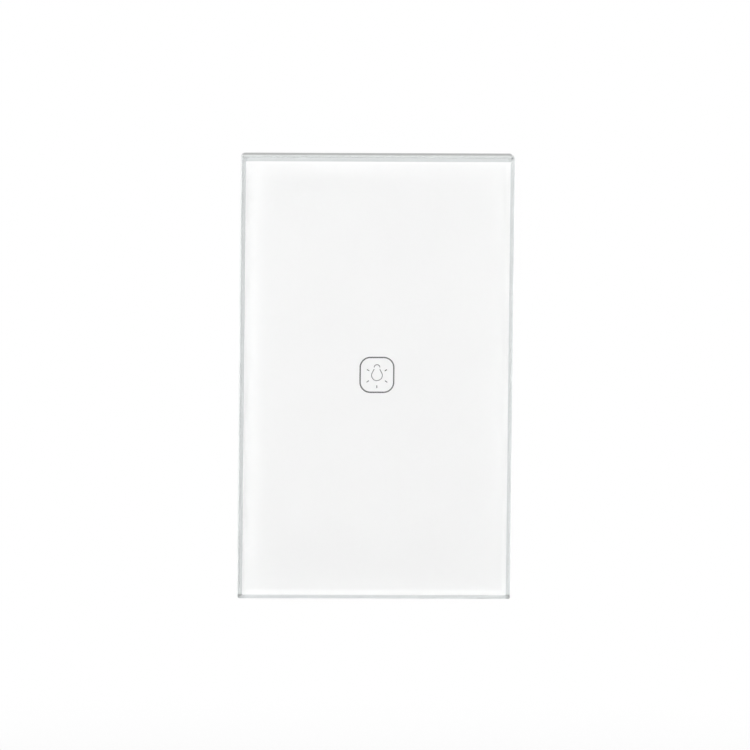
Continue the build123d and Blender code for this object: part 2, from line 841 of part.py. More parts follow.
with BuildPart() as socket_body:
    with BuildSketch(plane_at(power_board_y, 0, header_z)):
        Rectangle(header_length, header_width)
    extrude(amount=power_board_y - socket_front_y)
    with BuildSketch(plane_at(pin_back_y + lead_fit)):
        with Locations(*pin_places):
            Rectangle(header_pin + lead_fit, header_pin + lead_fit)
    extrude(amount=pin_back_y + lead_fit - socket_front_y, mode=Mode.SUBTRACT)
socket_body.part.label = "socket_body"
export_step(socket_body.part, "parts/socket_body.step")

# Depths at the terminals: the cages rise by their travel and stay clear of the screw heads
terminal_places = [(way - (terminal_count - 1) / 2) * terminal_pitch for way in range(terminal_count)]
cage_floor_y = bar_y - wire_gap
cage_top_front_y = bar_y + bar_thickness + cage_rest_gap
cage_back_y = cage_top_front_y + cage_top
screw_tip_rest_y = bar_y + bar_thickness + terminal_screw_rest
head_front_y = cage_back_y + cage_travel + cage_head_gap
chamber_back_y = head_front_y + terminal_head_height + head_gap
terminal_body_depth = chamber_back_y + chamber_cover - power_board_back_y
wire_y = (cage_floor_y + bar_y) / 2

# Housing: a box open to the front, with screw posts, ribs, wire windows, screw openings and vents
with BuildPart() as rear_housing:
    with BuildSketch(plane_at(housing_depth)):
        RectangleRounded(housing_width, housing_height, housing_corner)
    extrude(amount=housing_depth)
    with BuildSketch(plane_at(housing_inner_y)):
        RectangleRounded(cavity_width, cavity_height, housing_corner - housing_wall)
    extrude(amount=housing_inner_y, mode=Mode.SUBTRACT)
    with BuildSketch(plane_at(post_depth)):
        with Locations(*four_corners(post_x, post_z)):
            Circle(post_radius)
    extrude(amount=post_depth)
    with BuildSketch(plane_at(screw_tip_y + screw_pass)):
        with Locations(*four_corners(post_x, post_z)):
            Circle(housing_screw_shank + screw_fit)
    extrude(amount=screw_tip_y + screw_pass, mode=Mode.SUBTRACT)
    with BuildSketch(plane_at(housing_inner_y)):
        for rib_side in (-1, 1):
            with Locations((rib_side * (cavity_width - rib_thickness) / 2, 0)):
                with GridLocations(0, rib_spacing, 1, 2):
                    Rectangle(rib_thickness, rib_width)
    extrude(amount=housing_inner_y - power_board_back_y)
    with BuildSketch(Plane.XY.offset(-housing_height / 2)):
        with Locations(*[(x, wire_y) for x in terminal_places]):
            Rectangle(wire_window_width, wire_window_depth)
    extrude(amount=housing_wall, mode=Mode.SUBTRACT)
    with BuildSketch(plane_at(housing_depth)):
        with Locations(*[(x, terminal_z) for x in terminal_places]):
            Circle(terminal_head_radius + head_gap)
    extrude(amount=housing_wall, mode=Mode.SUBTRACT)
    with BuildSketch(plane_at(housing_depth, 0, label_z)):
        Rectangle(label_width, label_height)
    extrude(amount=label_recess, mode=Mode.SUBTRACT)
    with BuildSketch(Plane.XY.offset(housing_height / 2)):
        with Locations((0, (power_board_back_y + housing_inner_y) / 2)):
            with GridLocations(vent_pitch, 0, vent_count, 1):
                SlotOverall(vent_length, vent_width, rotation=90)
    extrude(amount=-housing_wall, mode=Mode.SUBTRACT)
rear_housing.part.label = "rear_housing"
export_step(rear_housing.part, "parts/rear_housing.step")

# Lead places of the parts on the power board
relay_face_y = power_board_back_y + standoff
relay_base_back_y = relay_face_y + relay_base_thickness
relay_case_back_y = relay_face_y + relay_height
film_leads = [(film_x, film_z + side * film_lead_spacing / 2) for side in (-1, 1)]
main_cap_leads = [(main_cap_x + side * main_cap_radius / 2, main_cap_z) for side in (-1, 1)]
output_cap_leads = [(output_cap_x + side * output_cap_radius / 2, output_cap_z) for side in (-1, 1)]
varistor_leads = [(varistor_x + side * varistor_lead_spacing / 2, varistor_z) for side in (-1, 1)]
fuse_leads = [(fuse_x, fuse_z + side * (fuse_length / 2 + fuse_lead_reach)) for side in (-1, 1)]
cap_leads = film_leads + main_cap_leads + output_cap_leads + varistor_leads
coil_pin_x = yoke_width / 2 + relay_part_gap + 1.5 * relay_pin_radius
fixed_leg_z = contact_z + contact_radius + relay_part_gap + fixed_blade / 2
relay_pin_places = [
    (relay_x - coil_pin_x, relay_z + coil_z),
    (relay_x + coil_pin_x, relay_z + coil_z),
    (relay_x, relay_z + yoke_z),
    (relay_x, relay_z + fixed_leg_z),
]
bar_tail_z = terminal_z + cage_length / 2 + bar_thickness + 2 * cage_side_gap
tail_slot = bar_thickness + 2 * lead_fit

# Mains board, cut back at the posts
with BuildPart() as power_board:
    with BuildSketch(plane_at(power_board_back_y)):
        Rectangle(power_board_width, power_board_height)
        with Locations(*four_corners(post_x, post_z)):
            power_relief = 2 * (post_radius + board_gap)
            Rectangle(power_relief, power_relief, mode=Mode.SUBTRACT)
        with Locations(*cap_leads):
            Circle(cap_lead + lead_fit, mode=Mode.SUBTRACT)
        with Locations(*fuse_leads):
            Circle(fuse_lead + lead_fit, mode=Mode.SUBTRACT)
        with Locations(*relay_pin_places):
            Circle(relay_pin_radius + lead_fit, mode=Mode.SUBTRACT)
        with Locations(*[(x, bar_tail_z) for x in terminal_places]):
            Rectangle(bar_tail_width + 2 * lead_fit, tail_slot, mode=Mode.SUBTRACT)
    extrude(amount=board_thickness)
power_board.part.label = "power_board"
export_step(power_board.part, "parts/power_board.step")

# Terminal block: three chambers open to the board, a funnel for each wire, and screw openings
chamber_low_z = terminal_z - cage_length / 2 - chamber_gap
chamber_high_z = bar_tail_z + bar_thickness / 2 + chamber_gap
chamber_length = chamber_high_z - chamber_low_z
chamber_z = (chamber_high_z + chamber_low_z) / 2
with BuildPart() as terminal_block:
    with BuildSketch(plane_at(power_board_back_y + terminal_body_depth, 0, chamber_z)):
        Rectangle(terminal_body_width, chamber_length + 2 * terminal_wall)
    extrude(amount=terminal_body_depth)
    with BuildSketch(plane_at(chamber_back_y, 0, chamber_z)):
        with Locations(*[(x, 0) for x in terminal_places]):
            Rectangle(chamber_width, chamber_length)
    extrude(amount=chamber_back_y - power_board_back_y, mode=Mode.SUBTRACT)
    with BuildSketch(plane_at(power_board_back_y + terminal_body_depth, 0, terminal_z)):
        with Locations(*[(x, 0) for x in terminal_places]):
            Circle(terminal_head_radius - head_gap)
    extrude(amount=chamber_cover, mode=Mode.SUBTRACT)
    with BuildSketch(Plane.XY.offset(chamber_low_z - terminal_wall)):
        with Locations(*[(x, wire_y) for x in terminal_places]):
            Rectangle(funnel_width, wire_gap + cage_wall)
    extrude(amount=terminal_wall, mode=Mode.SUBTRACT)
terminal_block.part.label = "terminal_block"
export_step(terminal_block.part, "parts/terminal_block.step")

# Current bars: flat under the screws, then down through the board
bar_front_z = terminal_z - cage_length / 2
bar_length = bar_tail_z + bar_thickness / 2 - bar_front_z
with BuildPart() as terminal_bars:
    with BuildSketch(plane_at(bar_y + bar_thickness, 0, bar_front_z + bar_length / 2)):
        with Locations(*[(x, 0) for x in terminal_places]):
            Rectangle(bar_width, bar_length)
    extrude(amount=bar_thickness)
    with BuildSketch(plane_at(bar_y, 0, bar_tail_z)):
        with Locations(*[(x, 0) for x in terminal_places]):
            Rectangle(bar_tail_width, bar_thickness)
    extrude(amount=bar_y - power_board_y + tail)
terminal_bars.part.label = "terminal_bars"
export_step(terminal_bars.part, "parts/terminal_bars.step")

# Rising clamp cages and their screws, one set for each terminal
cage_inner_width = bar_width + 2 * cage_side_gap
cage_outer_width = cage_inner_width + 2 * cage_wall
cage_front_y = cage_floor_y - cage_wall
for number, place in enumerate(terminal_places, start=1):
    with BuildPart() as clamp_cage:
        with BuildSketch(plane_at(cage_back_y, place, terminal_z)):
            Rectangle(cage_outer_width, cage_length)
        extrude(amount=cage_back_y - cage_front_y)
        with BuildSketch(plane_at(cage_top_front_y, place, terminal_z)):
            Rectangle(cage_inner_width, cage_length)
        extrude(amount=cage_top_front_y - cage_floor_y, mode=Mode.SUBTRACT)
        with BuildSketch(plane_at(cage_back_y, place, terminal_z)):
            Circle(terminal_screw_radius + thread_fit)
        extrude(amount=cage_top, mode=Mode.SUBTRACT)
    clamp_cage.part.label = f"clamp_cage_{number}"
    export_step(clamp_cage.part, f"parts/clamp_cage_{number}.step")

    with BuildPart() as terminal_screw:
        with BuildSketch(plane_at(head_front_y, place, terminal_z)):
            Circle(terminal_screw_radius)
        extrude(amount=head_front_y - screw_tip_rest_y)
        with BuildSketch(plane_at(head_front_y + terminal_head_height, place, terminal_z)):
            Circle(terminal_head_radius)
        extrude(amount=terminal_head_height)
        with BuildSketch(plane_at(head_front_y + terminal_head_height, place, terminal_z)):
            Rectangle(2 * recess_share * terminal_head_radius, recess_width)
            Rectangle(recess_width, 2 * recess_share * terminal_head_radius)
        extrude(amount=recess_depth, mode=Mode.SUBTRACT)
    terminal_screw.part.label = f"terminal_screw_{number}"
    export_step(terminal_screw.part, f"parts/terminal_screw_{number}.step")

# Relay: base with its pins, and a case over it
with BuildPart() as relay_base:
    with BuildSketch(plane_at(relay_base_back_y)):
        with Locations((relay_x, relay_z)):
            inside_gap = 2 * (relay_wall + relay_part_gap)
            Rectangle(relay_width - inside_gap, relay_length - inside_gap)
        with Locations(*relay_pin_places):
            Circle(relay_pin_radius + relay_part_gap, mode=Mode.SUBTRACT)
    extrude(amount=relay_base_thickness)
relay_base.part.label = "relay_base"
export_step(relay_base.part, "parts/relay_base.step")

with BuildPart() as relay_case:
    with BuildSketch(plane_at(relay_case_back_y, relay_x, relay_z)):
        RectangleRounded(relay_width, relay_length, relay_wall)
    extrude(amount=relay_height)
    with BuildSketch(plane_at(relay_case_back_y - relay_wall, relay_x, relay_z)):
        Rectangle(relay_width - 2 * relay_wall, relay_length - 2 * relay_wall)
    extrude(amount=relay_height - relay_wall, mode=Mode.SUBTRACT)
relay_case.part.label = "relay_case"
export_step(relay_case.part, "parts/relay_case.step")

# Relay yoke: a foot under the coil and a leg up to the armature
yoke_foot_back_y = relay_base_back_y + yoke_thickness
yoke_top_y = relay_base_back_y + yoke_height
with BuildPart() as relay_yoke:
    foot_start = yoke_z - yoke_leg / 2
    foot_end = coil_z + pole_radius
    with BuildSketch(plane_at(yoke_foot_back_y, relay_x, relay_z + (foot_start + foot_end) / 2)):
        Rectangle(yoke_width, foot_end - foot_start)
    extrude(amount=yoke_thickness)
    with BuildSketch(plane_at(yoke_top_y, relay_x, relay_z + yoke_z)):
        Rectangle(yoke_width, yoke_leg)
    extrude(amount=yoke_height)
relay_yoke.part.label = "relay_yoke"
export_step(relay_yoke.part, "parts/relay_yoke.step")

# Coil: bobbin, winding, and the core with its pole face
armature_front_y = yoke_top_y + armature_rest
pole_back_y = armature_front_y - armature_gap
bobbin_back_y = pole_back_y - pole_thickness - relay_part_gap
bobbin_height = bobbin_back_y - yoke_foot_back_y
with BuildPart() as relay_bobbin:
    with BuildSketch(plane_at(bobbin_back_y, relay_x, relay_z + coil_z)):
        Circle(bobbin_tube)
    extrude(amount=bobbin_height)
    with BuildSketch(plane_at(yoke_foot_back_y + bobbin_flange, relay_x, relay_z + coil_z)):
        Circle(bobbin_radius)
    extrude(amount=bobbin_flange)
    with BuildSketch(plane_at(bobbin_back_y, relay_x, relay_z + coil_z)):
        Circle(bobbin_radius)
    extrude(amount=bobbin_flange)
    with BuildSketch(plane_at(bobbin_back_y, relay_x, relay_z + coil_z)):
        Circle(core_radius + core_fit)
    extrude(amount=bobbin_height, mode=Mode.SUBTRACT)
relay_bobbin.part.label = "relay_bobbin"
export_step(relay_bobbin.part, "parts/relay_bobbin.step")

with BuildPart() as relay_winding:
    with BuildSketch(plane_at(bobbin_back_y - bobbin_flange, relay_x, relay_z + coil_z)):
        Circle(winding_radius)
        Circle(bobbin_tube, mode=Mode.SUBTRACT)
    extrude(amount=bobbin_height - 2 * bobbin_flange)
relay_winding.part.label = "relay_winding"
export_step(relay_winding.part, "parts/relay_winding.step")

with BuildPart() as relay_core:
    with BuildSketch(plane_at(pole_back_y, relay_x, relay_z + coil_z)):
        Circle(core_radius)
    extrude(amount=pole_back_y - yoke_foot_back_y)
    with BuildSketch(plane_at(pole_back_y, relay_x, relay_z + coil_z)):
        Circle(pole_radius)
    extrude(amount=pole_thickness)
relay_core.part.label = "relay_core"
export_step(relay_core.part, "parts/relay_core.step")

# Armature over the pole, and the leaf that carries the moving contact
armature_start = yoke_z - yoke_leg / 2 - armature_overhang / 2
armature_end = coil_z + pole_radius + armature_overhang
armature_back_y = armature_front_y + armature_thickness
leaf_start = armature_start + armature_overhang
leaf_end = contact_z + contact_radius + armature_overhang / 2
with BuildPart() as relay_armature:
    armature_middle = relay_z + (armature_start + armature_end) / 2
    with BuildSketch(plane_at(armature_back_y, relay_x, armature_middle)):
        Rectangle(armature_width, armature_end - armature_start)
    extrude(amount=armature_thickness)
relay_armature.part.label = "relay_armature"
export_step(relay_armature.part, "parts/relay_armature.step")

with BuildPart() as relay_moving_contact:
    leaf_middle = relay_z + (leaf_start + leaf_end) / 2
    with BuildSketch(plane_at(armature_back_y + leaf_thickness, relay_x, leaf_middle)):
        Rectangle(leaf_width, leaf_end - leaf_start)
    extrude(amount=leaf_thickness)
    with BuildSketch(plane_at(armature_back_y, relay_x, relay_z + contact_z)):
        Circle(contact_radius)
    extrude(amount=contact_height)
relay_moving_contact.part.label = "relay_moving_contact"
export_step(relay_moving_contact.part, "parts/relay_moving_contact.step")

# Fixed contact: a rivet on an angled blade
fixed_face_y = armature_back_y - contact_height - contact_gap
fixed_blade_y = fixed_face_y - fixed_contact_height
with BuildPart() as relay_fixed_contact:
    with BuildSketch(plane_at(fixed_face_y, relay_x, relay_z + contact_z)):
        Circle(contact_radius)
    extrude(amount=fixed_contact_height)
    blade_start = contact_z - contact_radius
    blade_end = fixed_leg_z + fixed_blade / 2
    with BuildSketch(plane_at(fixed_blade_y, relay_x, relay_z + (blade_start + blade_end) / 2)):
        Rectangle(leaf_width, blade_end - blade_start)
    extrude(amount=fixed_blade)
    with BuildSketch(plane_at(fixed_blade_y, relay_x, relay_z + fixed_leg_z)):
        Rectangle(leaf_width, fixed_blade)
    extrude(amount=fixed_blade_y - relay_base_back_y)
relay_fixed_contact.part.label = "relay_fixed_contact"
export_step(relay_fixed_contact.part, "parts/relay_fixed_contact.step")

with BuildPart() as relay_pins:
    with BuildSketch(plane_at(relay_base_back_y)):
        with Locations(*relay_pin_places):
            Circle(relay_pin_radius)
    extrude(amount=relay_base_back_y - power_board_y + tail)
relay_pins.part.label = "relay_pins"
export_step(relay_pins.part, "parts/relay_pins.step")

# Transformer: a bobbin with pins, a winding, and a core of two E halves joined
transformer_front_y = power_board_back_y + standoff
transformer_middle_y = transformer_front_y + core_height / 2
with BuildPart() as transformer_core:
    with BuildSketch(plane_at(transformer_middle_y + core_height / 2, transformer_x, transformer_z)):
        Rectangle(core_width, core_depth)
    extrude(amount=core_height)
    side_opening = (core_width - core_leg) / 2 - core_bar
    with BuildSketch(Plane.XY.offset(transformer_z - core_depth / 2)):
        for side in (-1, 1):
            opening_x = transformer_x + side * (core_leg + side_opening) / 2
            with Locations((opening_x, transformer_middle_y)):
                Rectangle(side_opening, core_height - 2 * core_bar)
    extrude(amount=core_depth, mode=Mode.SUBTRACT)
transformer_core.part.label = "transformer_core"
export_step(transformer_core.part, "parts/transformer_core.step")

# The bobbin's tube fits round the core's middle leg, between the core's bars
tube_inner_width = core_leg + core_window
tube_outer_width = tube_inner_width + 2 * bobbin_wall
tube_inner_length = core_depth + core_window
tube_outer_length = tube_inner_length + 2 * bobbin_wall
tube_height = core_height - 2 * core_bar - core_window
tube_back_y = transformer_middle_y + tube_height / 2
flange_width = core_leg + 2 * side_opening - core_window
with BuildPart() as transformer_bobbin:
    with BuildSketch(plane_at(tube_back_y, transformer_x, transformer_z)):
        Rectangle(tube_outer_width, tube_outer_length)
    extrude(amount=tube_height)
    with BuildSketch(plane_at(tube_back_y, transformer_x, transformer_z)):
        Rectangle(flange_width, bobbin_length)
    extrude(amount=bobbin_plate)
    with BuildSketch(plane_at(tube_back_y - tube_height + bobbin_plate, transformer_x, transformer_z)):
        Rectangle(flange_width, bobbin_length)
    extrude(amount=bobbin_plate)
    foot_length = (bobbin_length - core_depth) / 2 - core_window
    foot_z = core_depth / 2 + core_window + foot_length / 2
    with BuildSketch(plane_at(tube_back_y - tube_height + bobbin_plate, transformer_x, transformer_z)):
        with Locations((0, foot_z), (0, -foot_z)):
            Rectangle(flange_width, foot_length)
    extrude(amount=tube_back_y - tube_height + bobbin_plate - power_board_back_y)
    with BuildSketch(plane_at(tube_back_y, transformer_x, transformer_z)):
        Rectangle(tube_inner_width, tube_inner_length)
    extrude(amount=tube_height, mode=Mode.SUBTRACT)
transformer_bobbin.part.label = "transformer_bobbin"
export_step(transformer_bobbin.part, "parts/transformer_bobbin.step")

with BuildPart() as transformer_winding:
    with BuildSketch(plane_at(tube_back_y - bobbin_plate, transformer_x, transformer_z)):
        Rectangle(tube_outer_width, tube_outer_length)
        offset(amount=winding_thickness)
        Rectangle(tube_outer_width, tube_outer_length, mode=Mode.SUBTRACT)
    extrude(amount=tube_height - 2 * bobbin_plate)
transformer_winding.part.label = "transformer_winding"
export_step(transformer_winding.part, "parts/transformer_winding.step")

# Electrolytic capacitors: a can with a crimp groove, and two leads through the board
can_front_y = power_board_back_y + standoff
lead_front_y = power_board_y - tail
with BuildPart() as main_capacitor:
    with BuildSketch(plane_at(can_front_y + main_cap_height, main_cap_x, main_cap_z)):
        Circle(main_cap_radius)
    extrude(amount=main_cap_height)
    fillet(main_capacitor.edges().filter_by(GeomType.CIRCLE), can_round)
    with BuildSketch(plane_at(can_front_y + groove_lift + groove_width, main_cap_x, main_cap_z)):
        Circle(main_cap_radius)
        Circle(main_cap_radius - groove_depth, mode=Mode.SUBTRACT)
    extrude(amount=groove_width, mode=Mode.SUBTRACT)
    with BuildSketch(plane_at(can_front_y)):
        with Locations(*main_cap_leads):
            Circle(cap_lead)
    extrude(amount=can_front_y - lead_front_y)
main_capacitor.part.label = "main_capacitor"
export_step(main_capacitor.part, "parts/main_capacitor.step")

with BuildPart() as output_capacitor:
    with BuildSketch(plane_at(can_front_y + output_cap_height, output_cap_x, output_cap_z)):
        Circle(output_cap_radius)
    extrude(amount=output_cap_height)
    fillet(output_capacitor.edges().filter_by(GeomType.CIRCLE), can_round)
    with BuildSketch(plane_at(can_front_y + groove_lift + groove_width, output_cap_x, output_cap_z)):
        Circle(output_cap_radius)
        Circle(output_cap_radius - groove_depth, mode=Mode.SUBTRACT)
    extrude(amount=groove_width, mode=Mode.SUBTRACT)
    with BuildSketch(plane_at(can_front_y)):
        with Locations(*output_cap_leads):
            Circle(cap_lead)
    extrude(amount=can_front_y - lead_front_y)
output_capacitor.part.label = "output_capacitor"
export_step(output_capacitor.part, "parts/output_capacitor.step")

# Film capacitor: a potted box on two leads
with BuildPart() as film_capacitor:
    with BuildSketch(plane_at(can_front_y + film_height, film_x, film_z)):
        Rectangle(film_width, film_length)
    extrude(amount=film_height)
    fillet(film_capacitor.edges(), film_round)
    with BuildSketch(plane_at(can_front_y)):
        with Locations(*film_leads):
            Circle(cap_lead)
    extrude(amount=can_front_y - lead_front_y)
film_capacitor.part.label = "film_capacitor"
export_step(film_capacitor.part, "parts/film_capacitor.step")

# Varistor: a coated disc on two leads
varistor_y = power_board_back_y + varistor_lift + varistor_radius
with BuildPart() as varistor:
    with BuildSketch(Plane.XY.offset(varistor_z - varistor_thickness / 2)):
        with Locations((varistor_x, varistor_y)):
            Circle(varistor_radius)
    extrude(amount=varistor_thickness)
    fillet(varistor.edges().filter_by(GeomType.CIRCLE), varistor_round)
    with BuildSketch(plane_at(varistor_y)):
        with Locations(*varistor_leads):
            Circle(cap_lead)
    extrude(amount=varistor_y - lead_front_y)
varistor.part.label = "varistor"
export_step(varistor.part, "parts/varistor.step")

# Fuse resistor: a lying body with a bent lead at each end
fuse_y = power_board_back_y + fuse_lift + fuse_radius
with BuildPart() as fuse_resistor:
    with BuildSketch(Plane.XY.offset(fuse_z - fuse_length / 2)):
        with Locations((fuse_x, fuse_y)):
            Circle(fuse_radius)
    extrude(amount=fuse_length)
    fillet(fuse_resistor.edges().filter_by(GeomType.CIRCLE), fuse_round)
    with BuildSketch(Plane.XY.offset(fuse_leads[0][1] - fuse_lead)):
        with Locations((fuse_x, fuse_y)):
            Circle(fuse_lead)
    extrude(amount=fuse_length + 2 * fuse_lead_reach + 2 * fuse_lead)
    with BuildSketch(plane_at(fuse_y + fuse_lead)):
        with Locations(*fuse_leads):
            Circle(fuse_lead)
    extrude(amount=fuse_y + fuse_lead - lead_front_y)
fuse_resistor.part.label = "fuse_resistor"
export_step(fuse_resistor.part, "parts/fuse_resistor.step")

# Rectifier and supply driver, on the board's rear face with their leads
with BuildPart() as rectifier_chip:
    with BuildSketch(plane_at(power_board_back_y, bridge_x, bridge_z)):
        Rectangle(bridge_length, bridge_width)
    extrude(amount=-bridge_height)
    with BuildSketch(plane_at(power_board_back_y, bridge_x, bridge_z)):
        with GridLocations(header_pitch, bridge_width + chip_lead_reach, 2, 2):
            Rectangle(chip_lead_width, chip_lead_reach)
    extrude(amount=-chip_lead_height)
rectifier_chip.part.label = "rectifier_chip"
export_step(rectifier_chip.part, "parts/rectifier_chip.step")

with BuildPart() as driver_chip:
    with BuildSketch(plane_at(power_board_back_y, driver_x, driver_z)):
        Rectangle(chip_length, chip_width)
    extrude(amount=-chip_height)
    with BuildSketch(plane_at(power_board_back_y, driver_x, driver_z)):
        with GridLocations(chip_lead_pitch, chip_width + chip_lead_reach, chip_leads, 2):
            Rectangle(chip_lead_width, chip_lead_reach)
    extrude(amount=-chip_lead_height)
driver_chip.part.label = "driver_chip"
export_step(driver_chip.part, "parts/driver_chip.step")
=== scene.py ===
import json
import math
from functools import partial

import bmesh
import bpy
from bpy.props import FloatProperty, FloatVectorProperty, IntProperty, PointerProperty
from mathutils import Matrix, Vector


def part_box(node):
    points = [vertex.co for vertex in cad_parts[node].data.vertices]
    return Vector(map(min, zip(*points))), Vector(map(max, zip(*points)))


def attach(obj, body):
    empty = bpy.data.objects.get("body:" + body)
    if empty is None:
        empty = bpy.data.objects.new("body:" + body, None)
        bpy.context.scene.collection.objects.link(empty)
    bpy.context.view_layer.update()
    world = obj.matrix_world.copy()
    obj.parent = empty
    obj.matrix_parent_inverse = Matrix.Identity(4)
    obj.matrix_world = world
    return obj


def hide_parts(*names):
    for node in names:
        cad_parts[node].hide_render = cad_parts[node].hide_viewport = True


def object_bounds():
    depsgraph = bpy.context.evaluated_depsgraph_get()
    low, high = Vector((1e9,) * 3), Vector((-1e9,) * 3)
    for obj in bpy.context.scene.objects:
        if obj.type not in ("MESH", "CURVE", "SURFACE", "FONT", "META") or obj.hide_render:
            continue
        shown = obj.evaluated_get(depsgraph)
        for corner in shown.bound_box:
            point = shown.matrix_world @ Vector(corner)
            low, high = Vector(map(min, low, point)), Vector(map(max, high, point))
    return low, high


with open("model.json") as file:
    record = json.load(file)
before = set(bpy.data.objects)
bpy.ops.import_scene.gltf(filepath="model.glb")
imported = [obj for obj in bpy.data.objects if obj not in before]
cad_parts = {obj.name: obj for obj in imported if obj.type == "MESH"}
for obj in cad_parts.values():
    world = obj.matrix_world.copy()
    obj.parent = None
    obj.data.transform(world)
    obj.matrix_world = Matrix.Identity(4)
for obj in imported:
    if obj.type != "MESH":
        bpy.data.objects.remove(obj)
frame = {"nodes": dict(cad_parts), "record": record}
cad_low, cad_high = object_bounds()

bl_info = {
    "name": "Touch light switch",
    "version": (1, 0, 0),
    "blender": (4, 5, 0),
    "location": "3D View > Sidebar > Light Switch",
    "description": "Finishes the pieces of a glass touch light switch and sets them in a studio",
    "category": "Add Mesh",
}

MM = 0.001
NODES = frame["nodes"]

# Points that are closer than this are one
WELD = 0.002 * MM

# Turns from a piece's own axes, where it is grown along +Z, to its place in the switch
TO_ROOM = Matrix.Rotation(math.radians(90), 4, "X")
TO_WALL = Matrix.Rotation(math.radians(-90), 4, "X")

# Brings the sides of a square prism in line with the axes
EIGHTH_TURN = (0.0, 0.0, math.radians(45))

# Edges that turn by more degrees than this count as sharp, and take a piece's rounding
SHARP_ANGLE = 40

# Tones and values that several finishes share
NEAR_BLACK = (0.02, 0.02, 0.022)
TIN = (0.74, 0.74, 0.73)
DUST_COLOUR = (0.6, 0.59, 0.57)
PAD_COLOUR = (0.55, 0.52, 0.42)
GLASS_IOR = 1.5

# The terminals, as they are numbered on the housing
TERMINALS = (1, 2, 3)

# Where a Mix node has its two colours and its result, among sockets of the same name
MIX_COLOURS = (6, 7)
MIX_RESULT = 2

# Head height and shank radius of the screws, and the head radius that the recess width is given for
SCREWS = {"housing_screws": (1.4 * MM, 1.2 * MM), "board_screws": (1.1 * MM, 0.9 * MM)}
TERMINAL_SCREW = (1.7 * MM, 1.3 * MM)
RECESS_HEAD = 2.4 * MM


def length(label, text, value):
    """A length property in metres, given in millimetres."""
    return FloatProperty(name=label, description=text, default=value * MM, unit="LENGTH", precision=5)


def share(label, text, value):
    """A property between nothing and everything."""
    return FloatProperty(name=label, description=text, default=value, min=0.0, max=1.0, subtype="FACTOR")


def tint(label, text, red, green, blue):
    """A colour property."""
    return FloatVectorProperty(
        name=label, description=text, default=(red, green, blue), size=3, subtype="COLOR", min=0.0, max=1.0
    )


def degrees(label, text, value):
    """An angle property, given in degrees."""
    return FloatProperty(name=label, description=text, default=math.radians(value), subtype="ANGLE")


def watts(label, text, value):
    """A lamp's power as a property."""
    return FloatProperty(name=label, description=text, default=value, subtype="POWER")


class SwitchSizes(bpy.types.PropertyGroup):
    """Sizes of the finish that the frame doesn't hold"""

    bevel: length("Glass bevel", "Width of the polished bevel round the glass", 1.2)
    bevel_depth: length("Bevel depth", "How far the polished bevel runs back", 1.2)
    glass_corner: length("Glass corner", "Corner radius of the glass", 0.5)
    rear_arris: length("Rear arris", "Small bevel at the back of the glass", 0.25)
    glass_softness: length("Glass softness", "Rounding where two polished faces meet", 0.2)
    # Width of the painted highlight along the edge of the white ink
    ink_rim: length("Ink rim", "Width of the brighter edge of the white ink", 1.0)
    ink_contact: length("Ink contact", "How far the glass reaches over the ink's front", 0.03)
    moulded_edge: length("Moulded edge", "Rounding of moulded outer edges", 0.25)
    thin_edge: length("Thin edge", "Rounding of small moulded parts", 0.12)
    punched_edge: length("Punched edge", "Rounding of punched metal", 0.14)
    recess_width: length("Recess width", "Width of a cross recess's arms", 0.85)
    thread_pitch: length("Thread pitch", "Rise of a screw thread in one turn", 0.7)
    numeral: length("Numeral", "Height of the numbers beside the terminals", 3.2)
    numeral_depth: length("Numeral depth", "How deep the numbers are moulded in", 0.25)
    case_recess: length("Case recess", "Depth of the shallow panel on the relay's case", 0.12)
    lead_reach: length("Lead reach", "How far a chip's leads stand out", 0.9)
    lead_pitch: length("Lead pitch", "Distance between a chip's leads", 1.27)
    solder_height: length("Solder height", "Height of a solder joint", 0.5)
    silk_line: length("Silkscreen line", "Width of the white lines on the boards", 0.18)
    spring_turns: IntProperty(name="Spring turns", description="Turns of the touch spring", default=5, min=1)
    spring_wire: length("Spring wire", "Radius of the touch spring's wire", 0.275)


class SwitchColours(bpy.types.PropertyGroup):
    """Colours of the switch's finishes"""

    ink_white: tint("White ink", "Ink on the back of the glass", 0.91, 0.91, 0.91)
    # Colour of the painted highlight along the edge of the white ink
    ink_rim: tint("Rim of the ink", "Edge of the white ink, where it lies thickest", 0.96, 0.96, 0.96)
    ink_grey: tint("Grey ink", "Lines of the key and the pictogram", 0.085, 0.085, 0.087)
    glass_face: tint("Glass", "The clear glass", 0.997, 0.9975, 0.9972)
    # Painted shade on the bevel: it tints only what the camera sees first
    glass_bevel: tint("Glass bevel", "The polished bevel", 0.51, 0.54, 0.545)
    glass_side: tint("Glass side", "The ground side of the glass", 0.93, 0.965, 0.955)
    tape: tint("Tape", "Foam tape behind the ink", 0.965, 0.965, 0.965)
    carrier: tint("Carrier", "Light grey plastic behind the glass", 0.5, 0.505, 0.505)
    frame_white: tint("Wall frame", "White plastic of the wall frame", 0.62, 0.62, 0.61)
    housing: tint("Housing", "Plastic of the box in the wall", 0.62, 0.62, 0.605)
    tray: tint("Tray", "Dark plastic between the boards", 0.035, 0.036, 0.04)
    board: tint("Board", "Solder mask of the boards", 0.012, 0.105, 0.05)
    module: tint("Radio board", "Solder mask of the radio board", 0.008, 0.02, 0.07)
    laminate: tint("Laminate", "Bare edge of a board", 0.45, 0.38, 0.20)
    steel: tint("Zinc plate", "Plated steel", 0.46, 0.465, 0.47)
    brass: tint("Brass", "Current bars and pins", 0.72, 0.52, 0.22)
    gold: tint("Gold", "Gold flash on pins and pads", 0.86, 0.63, 0.27)
    copper: tint("Copper", "Enamelled winding wire", 0.62, 0.22, 0.07)
    epoxy: tint("Epoxy", "Moulded bodies of chips", 0.018, 0.018, 0.02)
    relay: tint("Relay case", "Blue case of the relay", 0.012, 0.09, 0.36)
    milky: tint("Milky plastic", "Light guide behind the key", 0.83, 0.83, 0.81)


